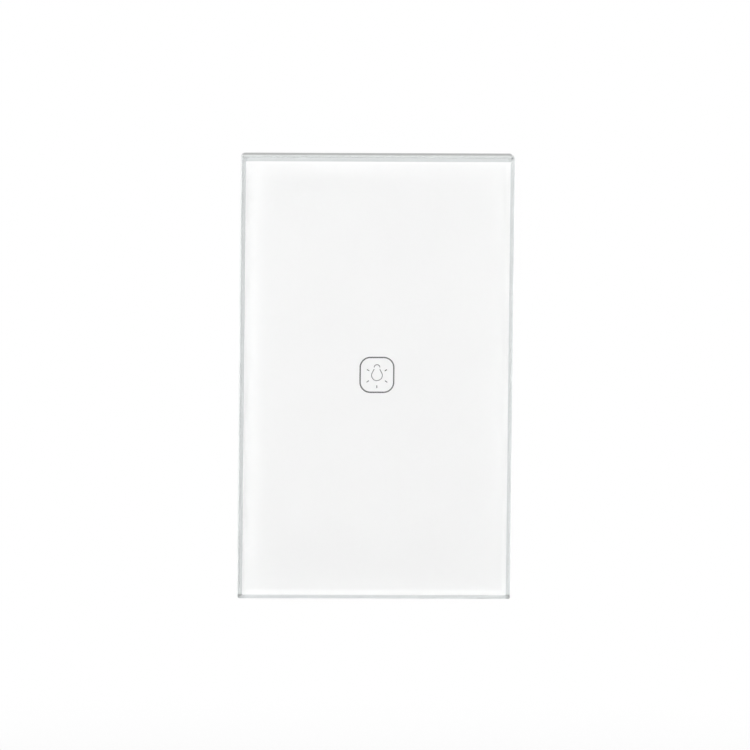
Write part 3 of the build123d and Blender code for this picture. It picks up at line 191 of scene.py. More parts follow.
class StudioSizes(bpy.types.PropertyGroup):
    """Camera, lamps and floor"""

    field: length("Field", "Width of the view at the switch", 197.5)
    distance: length("Distance", "From the camera to the switch", 5000.0)
    azimuth: degrees("Azimuth", "Camera to the side", -2.6)
    elevation: degrees("Elevation", "Camera above", 9.25)
    roll: degrees("Roll", "Turn of the camera about its view", 0.6)
    aim_x: length("Aim across", "Where the camera points, across the switch", -0.33)
    aim_z: length("Aim up", "Where the camera points, up the switch", 1.0)
    sky: share("Sky", "Strength of the world's light on matt surfaces", 0.32)
    lamp_size: length("Lamp size", "Width of the studio lamps", 2200.0)
    lamp_distance: length("Lamp distance", "From the lamps to the switch", 2000.0)
    key_power: watts("Key lamp", "Power of the lamp in front", 33.5)
    back_power: watts("Back lamp", "Power of each lamp behind", 22.0)
    floor_drop: length("Floor drop", "From the switch down to the floor", 140.0)
    floor_radius: length("Floor radius", "Half width of the floor", 650.0)
    floor_colour: tint("Floor", "Pale floor", 1.0, 1.0, 1.0)


def connect(node, inputs):
    """Links sockets to a node's inputs, or gives these plain values."""
    for name, value in inputs.items():
        for item in value if isinstance(value, list) else [value]:
            if isinstance(item, bpy.types.NodeSocket):
                node.id_data.links.new(item, node.inputs[name])
            else:
                node.inputs[name].default_value = item


def feed(node, **inputs):
    """Connects inputs whose names are given with underscores for spaces."""
    connect(node, {label.replace("_", " "): value for label, value in inputs.items()})


def put(tree, kind, inputs=None, **settings):
    """Adds a node. Settings are its own properties, and inputs are values or the sockets that feed it."""
    node = tree.nodes.new(kind)
    for name, value in settings.items():
        setattr(node, name, value)
    connect(node, inputs or {})
    return node


def calc(tree, operation, *values):
    """The result of a sum on sockets or numbers."""
    return put(tree, "ShaderNodeMath", dict(enumerate(values)), operation=operation).outputs[0]


def parts_of(tree, place):
    """A vector's parts, each as a socket."""
    return put(tree, "ShaderNodeSeparateXYZ", {0: place}).outputs


def vector(tree, x, y, z):
    """A vector from three sockets or numbers."""
    return put(tree, "ShaderNodeCombineXYZ", {0: x, 1: y, 2: z}).outputs[0]


def size_of(tree, place):
    """The length of a vector."""
    return put(tree, "ShaderNodeVectorMath", {0: place}, operation="LENGTH").outputs["Value"]


def ramp(tree, factor, places, colours):
    """A colour ramp through colours at their places."""
    node = put(tree, "ShaderNodeValToRGB", {"Fac": factor})
    elements = node.color_ramp.elements
    while len(elements) < len(places):
        elements.new(0.5)
    for element, place, colour in zip(elements, places, colours):
        element.position = place
        element.color = (*colour, 1.0)
    return node.outputs["Color"]


def grey(value):
    """A neutral colour."""
    return (value, value, value)


def shader_group(name, inputs, outputs):
    """A shader node group with named inputs and outputs, what it is given, and its end node."""
    group = bpy.data.node_groups.new(name, "ShaderNodeTree")
    for label, value in inputs.items():
        socket = group.interface.new_socket(label, in_out="INPUT", socket_type="NodeSocketFloat")
        socket.default_value = value
    for label in outputs:
        group.interface.new_socket(label, in_out="OUTPUT", socket_type="NodeSocketFloat")
    return group, put(group, "NodeGroupInput").outputs, put(group, "NodeGroupOutput")


def scaled_coordinates(tree, scale, stretch=(1.0, 1.0, 1.0)):
    """Object coordinates times a scale, stretched along the axes."""
    place = put(tree, "ShaderNodeTexCoord").outputs["Object"]
    stretched = put(tree, "ShaderNodeVectorMath", {0: place, 1: stretch}, operation="MULTIPLY").outputs[0]
    return put(tree, "ShaderNodeVectorMath", {0: stretched, "Scale": scale}, operation="SCALE").outputs[0]


def object_axes(tree):
    """The Object coordinates, each as a socket."""
    return parts_of(tree, put(tree, "ShaderNodeTexCoord").outputs["Object"])


def off_middle(tree, value, middle):
    """How far a value lies from a middle."""
    return calc(tree, "ABSOLUTE", calc(tree, "SUBTRACT", value, middle))


def cells(tree, scale, stretch=(1.0, 1.0, 1.0), **settings):
    """A cell texture."""
    place = scaled_coordinates(tree, scale, stretch)
    return put(tree, "ShaderNodeTexVoronoi", {"Vector": place, "Scale": 1.0}, **settings)


def noise(tree, place, detail=2.0, roughness=0.5):
    """Noise between nothing and one."""
    inputs = {"Vector": place, "Scale": 1.0, "Detail": detail, "Roughness": roughness}
    return put(tree, "ShaderNodeTexNoise", inputs).outputs[0]


def mould_grain_group():
    """Spark-eroded texture: fine grain over faint sink marks, with a slow change of sheen."""
    group, given, result = shader_group("mould_grain", {"Scale": 5200.0, "Broad": 90.0}, ("Height", "Sheen"))
    fine = noise(group, scaled_coordinates(group, given["Scale"]), detail=3.0, roughness=0.6)
    broad = noise(group, scaled_coordinates(group, given["Broad"]))
    feed(result, Height=calc(group, "MULTIPLY_ADD", broad, 0.8, fine), Sheen=broad)
    return group


def brushed_group():
    """Rolled sheet metal: long fine scratches, and a slow change of sheen."""
    values = {"Scale": 2500.0, "Broad": 160.0}
    group, given, result = shader_group("rolled_metal", values, ("Height", "Sheen"))
    drawn_out = (1.0, 1.0, 0.03)
    along = noise(group, scaled_coordinates(group, given["Scale"], drawn_out), detail=4.0, roughness=0.65)
    patches = noise(group, scaled_coordinates(group, given["Broad"]), detail=3.0, roughness=0.6)
    cloudy = calc(group, "MULTIPLY", patches, 0.6)
    feed(result, Height=along, Sheen=calc(group, "MULTIPLY_ADD", along, 0.4, cloudy))
    return group


def dust_group():
    """Sparse specks of dust, as a mask."""
    group, given, result = shader_group("dust", {"Scale": 900.0, "Amount": 0.12}, ("Mask",))
    patch_scale, patch_level = 300.0, 0.56
    distance = cells(group, given["Scale"]).outputs["Distance"]
    near = calc(group, "LESS_THAN", distance, given["Amount"])
    patches = noise(group, scaled_coordinates(group, patch_scale))
    settled_on = calc(group, "GREATER_THAN", patches, patch_level)
    feed(result, Mask=calc(group, "MULTIPLY", near, settled_on))
    return group


def traces_group():
    """Copper tracks under a solder mask: parallel lines that turn from field to field, and round pads."""
    group, given, result = shader_group("copper_tracks", {"Field": 260.0, "Pitch": 1500.0}, ("Mask", "Pads"))
    track_share = 0.42
    upright_below, level_above, poured_above = 0.38, 0.66, 0.8
    pads_a_field, pad_reach = 2.2, 0.13
    fields = cells(group, given["Field"], distance="CHEBYCHEV")
    chance = put(group, "ShaderNodeSeparateColor", {0: fields.outputs["Color"]}).outputs
    lines = parts_of(group, scaled_coordinates(group, given["Pitch"]))
    upright = calc(group, "LESS_THAN", calc(group, "FRACT", lines["X"]), track_share)
    level = calc(group, "LESS_THAN", calc(group, "FRACT", lines["Z"]), track_share)
    one_way = calc(group, "MULTIPLY", upright, calc(group, "LESS_THAN", chance[0], upright_below))
    other_way = calc(group, "MULTIPLY", level, calc(group, "GREATER_THAN", chance[0], level_above))
    poured = calc(group, "GREATER_THAN", chance[1], poured_above)
    mask = calc(group, "MAXIMUM", calc(group, "MAXIMUM", one_way, other_way), poured)
    dots = cells(group, given["Field"], (pads_a_field, 0.0, pads_a_field))
    feed(dots, Randomness=0.7)
    feed(result, Mask=mask, Pads=calc(group, "LESS_THAN", dots.outputs["Distance"], pad_reach))
    return group


def winding_group():
    """Turns of wire side by side, wound round Y, as a height and a mask of the gaps between them, where
    shade is painted.
    """
    group, given, result = shader_group("wire_turns", {"Pitch": 9000.0}, ("Height", "Gaps"))
    gap_height = 0.25
    depth = parts_of(group, scaled_coordinates(group, given["Pitch"]))["Y"]
    wave = calc(group, "ABSOLUTE", calc(group, "SINE", depth))
    feed(result, Height=wave, Gaps=calc(group, "LESS_THAN", wave, gap_height))
    return group


GROUP_MAKERS = {
    "mould_grain": mould_grain_group,
    "rolled_metal": brushed_group,
    "dust": dust_group,
    "copper_tracks": traces_group,
    "wire_turns": winding_group,
}


def effect(tree, name, **values):
    """Places a shared shader group, which is built the first time that a material asks for it."""
    group = bpy.data.node_groups.get(name) or GROUP_MAKERS[name]()
    return put(tree, "ShaderNodeGroup", values, node_tree=group).outputs


def blend_colours(tree, mask, first, second):
    """First colour where the mask is nothing, second where it is one."""
    inputs = {"Factor": mask}
    for index, colour in zip(MIX_COLOURS, (first, second)):
        inputs[index] = colour if isinstance(colour, bpy.types.NodeSocket) else (*colour, 1.0)
    return put(tree, "ShaderNodeMix", inputs, data_type="RGBA").outputs[MIX_RESULT]


def chosen(colour):
    """A colour, or the switch's own colour of that name."""
    return tuple(getattr(bpy.context.scene.switch_colours, colour)) if isinstance(colour, str) else colour


def two_tones(tree, mask, colour, kept):
    """A colour that keeps only that share of its light where the mask is one."""
    full = chosen(colour)
    return blend_colours(tree, mask, full, tuple(channel * kept for channel in full))


def spread(tree, value, low, high, start=0.0, end=1.0, **settings):
    """Maps start to end onto low to high."""
    span = {"Value": value, "From Min": start, "From Max": end, "To Min": low, "To Max": high}
    return put(tree, "ShaderNodeMapRange", span, **settings).outputs[0]


def bump(tree, height, depth):
    """The normal of a surface with a height on it."""
    return put(tree, "ShaderNodeBump", {"Height": height, "Distance": depth, "Strength": 1.0}).outputs[0]


def blank_material(name):
    """A material with nothing but its shader, and that shader's node tree."""
    made = bpy.data.materials.new(f"{name}_finish")
    made.use_nodes = True
    tree = made.node_tree
    return made, tree, tree.nodes["Principled BSDF"]


def repaint(made, mask, colour):
    """Puts another colour on a finish where the mask is one, and gives its shader."""
    tree = made.node_tree
    shader = tree.nodes["Principled BSDF"]
    body = shader.inputs["Base Color"].links[0].from_socket
    feed(shader, Base_Color=blend_colours(tree, mask, body, chosen(colour)))
    return shader


def textured(name, group, colour, kept, sheen, depth, **sizes):
    """A finish whose tone and roughness follow a shared group's sheen, and its normal the group's height."""
    made, tree, shader = blank_material(name)
    given = effect(tree, group, **sizes)
    feed(shader, Base_Color=two_tones(tree, given["Sheen"], colour, kept),
         Roughness=spread(tree, given["Sheen"], *sheen), Normal=bump(tree, given["Height"], depth))
    return made, shader


def moulded(name, colour, roughness, grain=5200.0, depth=0.012 * MM, dusty=0.0, coat=0.0):
    """Moulded plastic with grain, a slow change of tone and sheen, and a little dust."""
    sheen = (roughness - 0.07, roughness + 0.07)
    made, shader = textured(name, "mould_grain", colour, kept=0.955, sheen=sheen, depth=depth, Scale=grain)
    if dusty:
        tree = made.node_tree
        dust_strength = 0.35
        specks = effect(tree, "dust", Amount=dusty)["Mask"]
        repaint(made, calc(tree, "MULTIPLY", specks, dust_strength), DUST_COLOUR)
    feed(shader, Coat_Weight=coat)
    return made


def plated(name, colour, roughness, scale=2500.0, depth=0.006 * MM):
    """Rolled or plated metal with fine scratches and cloudy sheen."""
    sheen = (roughness - 0.1, roughness + 0.12)
    made, shader = textured(name, "rolled_metal", colour, kept=0.82, sheen=sheen, depth=depth, Scale=scale)
    feed(shader, Metallic=1.0)
    return made


def clear_glass(name):
    """Clear glass whose polished bevel is soft and a little grey, told apart by depth. The grey is painted
    shade that only the camera sees.
    """
    made, tree, shader = blank_material(name)
    low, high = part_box("glass_panel")
    through = spread(tree, object_axes(tree)["Y"], 0.0, 1.0, low.y, high.y)
    turn = bpy.context.scene.switch_sizes.bevel_depth / (high.y - low.y)
    places = (0.004, 0.02, turn - 0.013, turn + 0.01)
    face, bevel = chosen("glass_face"), chosen("glass_bevel")
    tone = ramp(tree, through, places, (face, bevel, bevel, face))
    clear, cut = grey(0.0), grey(0.12)
    # Painted shade: only camera rays see the grey bevel tone, and lamps and bounces pass the clear glass
    # untinted
    first_seen = put(tree, "ShaderNodeLightPath").outputs["Is Camera Ray"]
    feed(shader, Base_Color=blend_colours(tree, first_seen, face, tone), IOR=GLASS_IOR,
         Roughness=ramp(tree, through, places, (clear, cut, cut, clear)), Transmission_Weight=1.0)
    return made


def ground_glass(name):
    """The ground side of the glass: frosted, so that it scatters a part of the light."""
    made, shader = textured(name, "mould_grain", "glass_side", kept=0.96, sheen=(0.42, 0.58),
                            depth=0.004 * MM, Scale=9000.0)
    feed(shader, IOR=GLASS_IOR, Transmission_Weight=0.5)
    return made


def printed_ink(name, colour):
    """Screen-printed ink: nearly even, with the faint mesh of the screen."""
    made, _ = textured(name, "mould_grain", colour, kept=0.985, sheen=(0.5, 0.62), depth=0.003 * MM,
                       Scale=7000.0, Broad=60.0)
    return made


def white_ink(name):
    """The white print, with a painted highlight along its edge."""
    made = printed_ink(name, "ink_white")
    tree = made.node_tree
    low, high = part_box("back_print")
    middle = (low + high) / 2
    place = object_axes(tree)
    beyond = calc(tree, "MAXIMUM",
                  calc(tree, "SUBTRACT", off_middle(tree, place["X"], middle.x), high.x - middle.x),
                  calc(tree, "SUBTRACT", off_middle(tree, place["Z"], middle.z), high.z - middle.z))
    # Painted highlight: the ink turns lighter over this width inside its edge
    width = bpy.context.scene.switch_sizes.ink_rim
    repaint(made, spread(tree, beyond, 0.0, 1.0, -width, 0.0, interpolation_type="SMOOTHSTEP"), "ink_rim")
    return made


def foam_tape(name):
    """White foam tape with fine open cells at its cut edge, each darkened a little as painted shade."""
    made, tree, shader = blank_material(name)
    cell_scale, pore_reach = 6500.0, 0.18
    distance = cells(tree, cell_scale).outputs["Distance"]
    # Painted shade: the open cells keep a little less of the tape's white
    shaded_pores = calc(tree, "LESS_THAN", distance, pore_reach)
    feed(shader, Base_Color=two_tones(tree, shaded_pores, "tape", kept=0.93), Roughness=0.75,
         Normal=bump(tree, distance, 0.03 * MM))
    return made


def circuit_board(name, colour, node):
    """Laminate with copper tracks under a glossy solder mask, and its bare edge."""
    made, tree, shader = blank_material(name)
    low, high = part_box(node)
    tracks = effect(tree, "copper_tracks")
    gain, lift = 1.9, 0.012
    lit = tuple(min(1.0, channel * gain + lift) for channel in chosen(colour))
    tone = blend_colours(tree, tracks["Mask"], chosen(colour), lit)
    tone = blend_colours(tree, tracks["Pads"], tone, PAD_COLOUR)
    depth = object_axes(tree)["Y"]
    skin = 0.06 * MM
    inner = calc(tree, "MULTIPLY", calc(tree, "GREATER_THAN", depth, low.y + skin),
                 calc(tree, "LESS_THAN", depth, high.y - skin))
    feed(shader, Base_Color=blend_colours(tree, inner, tone, chosen("laminate")), Coat_Weight=0.4,
         Roughness=spread(tree, tracks["Mask"], 0.34, 0.24), Normal=bump(tree, tracks["Mask"], 0.03 * MM))
    return made


def wound_wire(name, colour, pitch):
    """Enamelled wire wound side by side, with painted shade in the gaps between the turns."""
    made, tree, shader = blank_material(name)
    turns = effect(tree, "wire_turns", Pitch=pitch)
    # Painted shade: the gaps between the turns keep only about a third of the copper's colour
    feed(shader, Base_Color=two_tones(tree, turns["Gaps"], colour, kept=0.35), Metallic=0.85,
         Roughness=0.28, Normal=bump(tree, turns["Height"], 0.08 * MM))
    return made


def sleeve_with_stripe(name, node):
    """Shrink sleeve with a pale stripe on one side, and the bare can with its vent score at its end, bumped
    in and darkened with painted shade.
    """
    made, tree, shader = blank_material(name)
    low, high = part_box(node)
    middle = (low + high) / 2
    radius = high.x - middle.x
    stripe_start, bare_reach, score_reach = 0.72 * radius, 0.84 * radius, 0.6 * radius
    end_depth, half_score = 0.1 * MM, 0.14 * MM
    place = object_axes(tree)
    side = calc(tree, "GREATER_THAN", place["X"], middle.x + stripe_start)
    film, stripe = (0.012, 0.013, 0.03), (0.55, 0.56, 0.58)
    sleeve = blend_colours(tree, side, film, stripe)
    end = calc(tree, "GREATER_THAN", place["Y"], high.y - end_depth)
    across = off_middle(tree, place["X"], middle.x)
    upright = off_middle(tree, place["Z"], middle.z)
    reach = size_of(tree, vector(tree, across, upright, 0.0))
    bare = calc(tree, "MULTIPLY", end, calc(tree, "LESS_THAN", reach, bare_reach))
    score = calc(tree, "LESS_THAN", calc(tree, "MINIMUM", across, upright), half_score)
    inside = calc(tree, "LESS_THAN", calc(tree, "MAXIMUM", across, upright), score_reach)
    vent = calc(tree, "MULTIPLY", score, inside)
    # The vent score's dark grey is painted shade in the groove; its bump is real
    can, score_shade = grey(0.62), grey(0.2)
    lid = blend_colours(tree, vent, can, score_shade)
    feed(shader, Base_Color=blend_colours(tree, bare, sleeve, lid), Metallic=bare,
         Normal=bump(tree, calc(tree, "SUBTRACT", 1.0, vent), 0.2 * MM),
         Roughness=spread(tree, effect(tree, "mould_grain")["Sheen"], 0.22, 0.4))
    return made


def leaded(name, node, colour, roughness, reach, ends=0.0):
    """A lacquered body on tinned leads, bare for a reach from their tips and for a stretch at both ends."""
    made = moulded(name, colour, roughness, grain=1800.0, depth=0.03 * MM, coat=0.5)
    tree = made.node_tree
    low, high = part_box(node)
    place = object_axes(tree)
    upright = off_middle(tree, place["Z"], (low.z + high.z) / 2)
    beyond = calc(tree, "GREATER_THAN", upright, (high.z - low.z) / 2 - ends)
    bare = calc(tree, "MAXIMUM", calc(tree, "LESS_THAN", place["Y"], low.y + reach), beyond)
    feed(repaint(made, bare, TIN), Metallic=bare)
    return made


def milky_plastic(name):
    """Milky plastic that passes a little light."""
    made = moulded(name, "milky", roughness=0.42, grain=4200.0, depth=0.008 * MM)
    shader = made.node_tree.nodes["Principled BSDF"]
    feed(shader, Subsurface_Weight=0.35, Subsurface_Scale=0.8 * MM)
    return made


FINISHES = {
    "clear_glass": clear_glass,
    "ground_glass": ground_glass,
    "white_ink": white_ink,
    "grey_ink": partial(printed_ink, colour="ink_grey"),
    "foam_tape": foam_tape,
    "carrier_plastic": partial(
        moulded, colour="carrier", roughness=0.45, grain=5600.0, depth=0.008 * MM, dusty=0.1
    ),
    "frame_plastic": partial(
        moulded, colour="frame_white", roughness=0.46, grain=4200.0, depth=0.014 * MM, dusty=0.1
    ),
    "housing_plastic": partial(
        moulded, colour="housing", roughness=0.52, grain=3300.0, depth=0.03 * MM, dusty=0.12
    ),
    "tray_plastic": partial(
        moulded, colour="tray", roughness=0.5, grain=4000.0, depth=0.02 * MM, dusty=0.16
    ),
    "terminal_plastic": partial(moulded, colour=(0.04, 0.043, 0.048), roughness=0.48, grain=4000.0),
    "connector_plastic": partial(moulded, colour=(0.014, 0.014, 0.015), roughness=0.42, grain=6000.0),
    "relay_plastic": partial(
        moulded, colour="relay", roughness=0.22, grain=2600.0, depth=0.004 * MM, coat=0.5
    ),
    "dark_bobbin": partial(moulded, colour=NEAR_BLACK, roughness=0.4),
    "chip_epoxy": partial(moulded, colour="epoxy", roughness=0.5, grain=7000.0, depth=0.01 * MM),
    "resistor_ceramic": partial(moulded, colour=NEAR_BLACK, roughness=0.3, grain=7000.0, depth=0.004 * MM),
    "resistor_lacquer": partial(
        leaded, node="fuse_resistor", colour=(0.10, 0.22, 0.13), roughness=0.3, reach=2.9 * MM, ends=1.9 * MM
    ),
    "varistor_dip": partial(
        leaded, node="varistor", colour=(0.02, 0.09, 0.30), roughness=0.2, reach=4.0 * MM
    ),
    "film_box": partial(moulded, colour=(0.62, 0.42, 0.03), roughness=0.33, grain=3600.0),
    "ferrite": partial(moulded, colour=(0.035, 0.035, 0.037), roughness=0.62, grain=2800.0, depth=0.03 * MM),
    "lamp_body": partial(moulded, colour=(0.82, 0.82, 0.80), roughness=0.3, grain=6000.0),
    "lamp_phosphor": partial(
        moulded, colour=(0.78, 0.62, 0.12), roughness=0.25, grain=6000.0, depth=0.004 * MM, coat=0.6
    ),
    "silkscreen": partial(moulded, colour=(0.80, 0.80, 0.78), roughness=0.6, grain=7000.0, depth=0.003 * MM),
    "winding_tape": partial(
        moulded, colour=(0.70, 0.48, 0.02), roughness=0.2, grain=900.0, depth=0.01 * MM, coat=0.4
    ),
    "milky_plastic": milky_plastic,
    "strap_steel": partial(plated, colour="steel", roughness=0.36),
    "screw_steel": partial(plated, colour=(0.66, 0.66, 0.655), roughness=0.27, scale=3600.0),
    "spring_steel": partial(plated, colour=(0.72, 0.71, 0.69), roughness=0.22, scale=4200.0),
    "can_metal": partial(plated, colour=(0.70, 0.70, 0.69), roughness=0.3, scale=1800.0),
    "tinned": partial(plated, colour=TIN, roughness=0.26, scale=3000.0, depth=0.01 * MM),
    "soft_iron": partial(plated, colour=(0.56, 0.56, 0.55), roughness=0.4, scale=2200.0),
    "silver": partial(plated, colour=(0.88, 0.86, 0.82), roughness=0.3, scale=3000.0),
    "brass": partial(plated, colour="brass", roughness=0.3),
    "gold": partial(plated, colour="gold", roughness=0.2, scale=4500.0, depth=0.003 * MM),
    "relay_wire": partial(wound_wire, colour="copper", pitch=22000.0),
    "touch_laminate": partial(circuit_board, colour="board", node="touch_board"),
    "power_laminate": partial(circuit_board, colour="board", node="power_board"),
    "module_laminate": partial(circuit_board, colour="module", node="wireless_module"),
    "main_sleeve": partial(sleeve_with_stripe, node="main_capacitor"),
    "output_sleeve": partial(sleeve_with_stripe, node="output_capacitor"),
}


def material(name):
    """A finish, built the first time that a piece asks for it."""
    return bpy.data.materials.get(f"{name}_finish") or FINISHES[name](name)


def dress(node, finish):
    """Gives a CAD piece its finish."""
    for place in NODES[node].material_slots:
        place.material = material(finish)


def islands(node):
    """Lowest and highest corners of each separate solid of a CAD node, from left to right and then up."""
    shape = bmesh.new()
    shape.from_mesh(NODES[node].data)
    bmesh.ops.remove_doubles(shape, verts=shape.verts[:], dist=WELD)
    left, boxes = set(shape.verts), []
    beyond = Vector((math.inf, math.inf, math.inf))
    while left:
        reach, low, high = [left.pop()], beyond, -beyond
        while reach:
            vertex = reach.pop()
            low = Vector(map(min, low, vertex.co))
            high = Vector(map(max, high, vertex.co))
            near = {edge.other_vert(vertex) for edge in vertex.link_edges} & left
            left -= near
            reach.extend(near)
        boxes.append((low, high))
    shape.free()
    return sorted(boxes, key=lambda pair: (round(pair[0].x, 5), round(pair[0].z, 5)))


def on_level(box, level):
    """The middle of a box, at a depth."""
    low, high = box
    return ((low.x + high.x) / 2, level, (low.z + high.z) / 2)


def body_of(node):
    """The body that a CAD node belongs to."""
    for body, members in frame["record"]["behaviour"]["bodies"].items():
        if node in members:
            return body
    raise ValueError(node)


def coat(piece, finish):
    """Gives all of a new piece one finish."""
    piece.data.materials.clear()
    piece.data.materials.append(material(finish))
    piece.data.polygons.foreach_set("material_index", [0] * len(piece.data.polygons))


def place_piece(piece, finish, *nodes):
    """Gives a new piece its finish, and lets it stand for these nodes on their body."""
    if finish:
        coat(piece, finish)
    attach(piece, body_of(nodes[0]))
    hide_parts(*nodes)
    return piece


def new_object(name, data):
    """An object for a mesh, a curve, a lamp or a camera, linked to the scene."""
    made = bpy.data.objects.new(name, data)
    bpy.context.scene.collection.objects.link(made)
    return made


def mesh_from(shape, name):
    """A new mesh from a shape, which is freed."""
    mesh = bpy.data.meshes.new(name)
    shape.to_mesh(mesh)
    shape.free()
    return mesh


def evaluated_mesh(holder):
    """What an object's curve or modifiers make, as a mesh."""
    depsgraph = bpy.context.evaluated_depsgraph_get()
    return bpy.data.meshes.new_from_object(holder.evaluated_get(depsgraph), depsgraph=depsgraph)


def mesh_of_curve(name, curve):
    """A curve's mesh, in place of the curve."""
    holder = new_object(f"{name}_curve", curve)
    mesh = evaluated_mesh(holder)
    bpy.data.objects.remove(holder)
    bpy.data.curves.remove(curve)
    return mesh


def settled(piece):
    """Turns a piece and its modifiers into a plain mesh."""
    mesh = evaluated_mesh(piece)
    piece.modifiers.clear()
    old, piece.data = piece.data, mesh
    mesh.name = piece.name
    if old.users == 0:
        bpy.data.meshes.remove(old)
    return piece


def rounded_edges(piece, radius, weighted=True, cutters=()):
    """Rounds the outer edges that carry a bevel weight, or all sharp ones, and evens out the shading.

    Cutters are taken out of the piece and removed.
    """
    if radius:
        edges = piece.modifiers.new("edges", "BEVEL")
        edges.width = radius
        edges.segments = 2
        edges.limit_method = "WEIGHT" if weighted else "ANGLE"
        edges.angle_limit = math.radians(SHARP_ANGLE)
        edges.use_clamp_overlap = False
        edges.miter_outer = "MITER_ARC"
    if cutters:
        for cutter in cutters:
            cut = piece.modifiers.new("cut", "BOOLEAN")
            cut.operation = "DIFFERENCE"
            cut.solver = "EXACT"
            cut.object = cutter
        shaded(settled(piece).data)
        for cutter in cutters:
            bpy.data.objects.remove(cutter)
    normals = piece.modifiers.new("normals", "WEIGHTED_NORMAL")
    normals.keep_sharp = True
    return settled(piece)


def shaded(mesh, angle=35):
    """Smooth shading, except across sharp edges."""
    mesh.polygons.foreach_set("use_smooth", [True] * len(mesh.polygons))
    mesh.set_sharp_from_angle(angle=math.radians(angle))


def joined_copy(node):
    """A CAD node's mesh with its loose triangles joined and its flat faces merged."""
    shape = bmesh.new()
    shape.from_mesh(NODES[node].data)
    bmesh.ops.remove_doubles(shape, verts=shape.verts[:], dist=WELD)
    flat = {"angle_limit": math.radians(0.6), "use_dissolve_boundaries": False}
    bmesh.ops.dissolve_limit(shape, verts=shape.verts[:], edges=shape.edges[:], **flat)
    return shape


def softened(name, node, finish, radius, cutters=()):
    """A copy of a CAD piece whose outer edges are rounded, less its cutters."""
    shape = joined_copy(node)
    weight = shape.edges.layers.float.new("bevel_weight_edge")
    least = math.radians(SHARP_ANGLE)
    for edge in shape.edges:
        if len(edge.link_faces) == 2 and edge.is_convex and edge.calc_face_angle() > least:
            edge[weight] = 1.0
    mesh = mesh_from(shape, name)
    shaded(mesh)
    return place_piece(rounded_edges(new_object(name, mesh), radius, cutters=cutters), finish, node)


def rounded_outline(width, height, corner, steps):
    """Points round a rectangle with round corners."""
    points = []
    for quarter, (side_x, side_z) in enumerate(((1, 1), (-1, 1), (-1, -1), (1, -1))):
        for step in range(steps + 1):
            angle = math.radians(90 * (quarter + step / steps))
            points.append((
                side_x * (width / 2 - corner) + corner * math.cos(angle),
                side_z * (height / 2 - corner) + corner * math.sin(angle),
            ))
    return points


def eased(profile, radius, steps=3):
    """A profile whose inner corners are rounded."""
    points = [Vector(profile[0])]
    for before, here, after in zip(profile, profile[1:], profile[2:]):
        before, here, after = Vector(before), Vector(here), Vector(after)
        reach = min(radius, (before - here).length / 2, (after - here).length / 2)
        start = here + (before - here).normalized() * reach
        end = here + (after - here).normalized() * reach
        for step in range(steps + 1):
            t = step / steps
            points.append(start * (1 - t) ** 2 + here * 2 * t * (1 - t) + end * t ** 2)
    points.append(Vector(profile[-1]))
    return points


def lofted(name, centre, width, height, corner, profile, steps=8):
    """A closed form with round corners, from (inset, depth) sections that run from its back to its front."""
    least_corner = 0.03 * MM
    shape = bmesh.new()
    loops = []
    for inset, depth in profile:
        rounding = max(corner - inset, least_corner)
        outline = rounded_outline(width - 2 * inset, height - 2 * inset, rounding, steps)
        loops.append([shape.verts.new((centre[0] + x, depth, centre[1] + z)) for x, z in outline])
    for first, second in zip(loops, loops[1:]):
        for index, vertex in enumerate(first):
            before = index - 1
            shape.faces.new((first[before], vertex, second[index], second[before]))
    shape.faces.new(loops[0])
    shape.faces.new(loops[-1])
    bmesh.ops.recalc_face_normals(shape, faces=shape.faces[:])
    mesh = mesh_from(shape, name)
    shaded(mesh, angle=50)
    return new_object(name, mesh)


def tube(name, points, radius):
    """A round wire along points, with closed ends."""
    curve = bpy.data.curves.new(name, "CURVE")
    curve.dimensions = "3D"
    curve.bevel_depth = radius
    curve.bevel_resolution = 8
    curve.use_fill_caps = True
    spline = curve.splines.new("POLY")
    spline.points.add(len(points) - 1)
    for point, place in zip(spline.points, points):
        point.co = (*place, 1.0)
    mesh = mesh_of_curve(name, curve)
    shape = bmesh.new()
    shape.from_mesh(mesh)
    bmesh.ops.remove_doubles(shape, verts=shape.verts[:], dist=WELD)
    bmesh.ops.recalc_face_normals(shape, faces=shape.faces[:])
    shape.to_mesh(mesh)
    shape.free()
    shaded(mesh, angle=60)
    return new_object(name, mesh)


def geometry_tree(name, sizes):
    """A Geometry Nodes tree with named sizes. Its geometry input holds the places of what it repeats."""
    tree = bpy.data.node_groups.new(name, "GeometryNodeTree")
    tree.interface.new_socket("Places", in_out="INPUT", socket_type="NodeSocketGeometry")
    for label, value in sizes.items():
        socket = tree.interface.new_socket(label, in_out="INPUT", socket_type="NodeSocketFloat")
        socket.default_value = value
    tree.interface.new_socket("Finish", in_out="INPUT", socket_type="NodeSocketMaterial")
    tree.interface.new_socket("Geometry", in_out="OUTPUT", socket_type="NodeSocketGeometry")
    return tree, put(tree, "NodeGroupInput").outputs


def repeat_on_places(tree, given, shape):
    """Ends a tree: the shape at every place, as one real mesh with its finish."""
    copies = put(tree, "GeometryNodeInstanceOnPoints", {"Points": given["Places"], "Instance": shape})
    solid = put(tree, "GeometryNodeRealizeInstances", {"Geometry": copies.outputs[0]}).outputs[0]
    finished = put(tree, "GeometryNodeSetMaterial", {"Geometry": solid, "Material": given["Finish"]})
    put(tree, "NodeGroupOutput", {"Geometry": finished.outputs[0]})
    return tree


def moved(tree, shape, place=(0.0, 0.0, 0.0), turn=(0.0, 0.0, 0.0), scale=(1.0, 1.0, 1.0)):
    """A shape moved, turned and scaled. The place and the scale may hold sockets."""
    inputs = {"Geometry": shape, "Translation": place, "Rotation": turn, "Scale": scale}
    for label in ("Translation", "Scale"):
        if any(isinstance(value, bpy.types.NodeSocket) for value in inputs[label]):
            inputs[label] = vector(tree, *inputs[label])
    return put(tree, "GeometryNodeTransform", inputs).outputs[0]


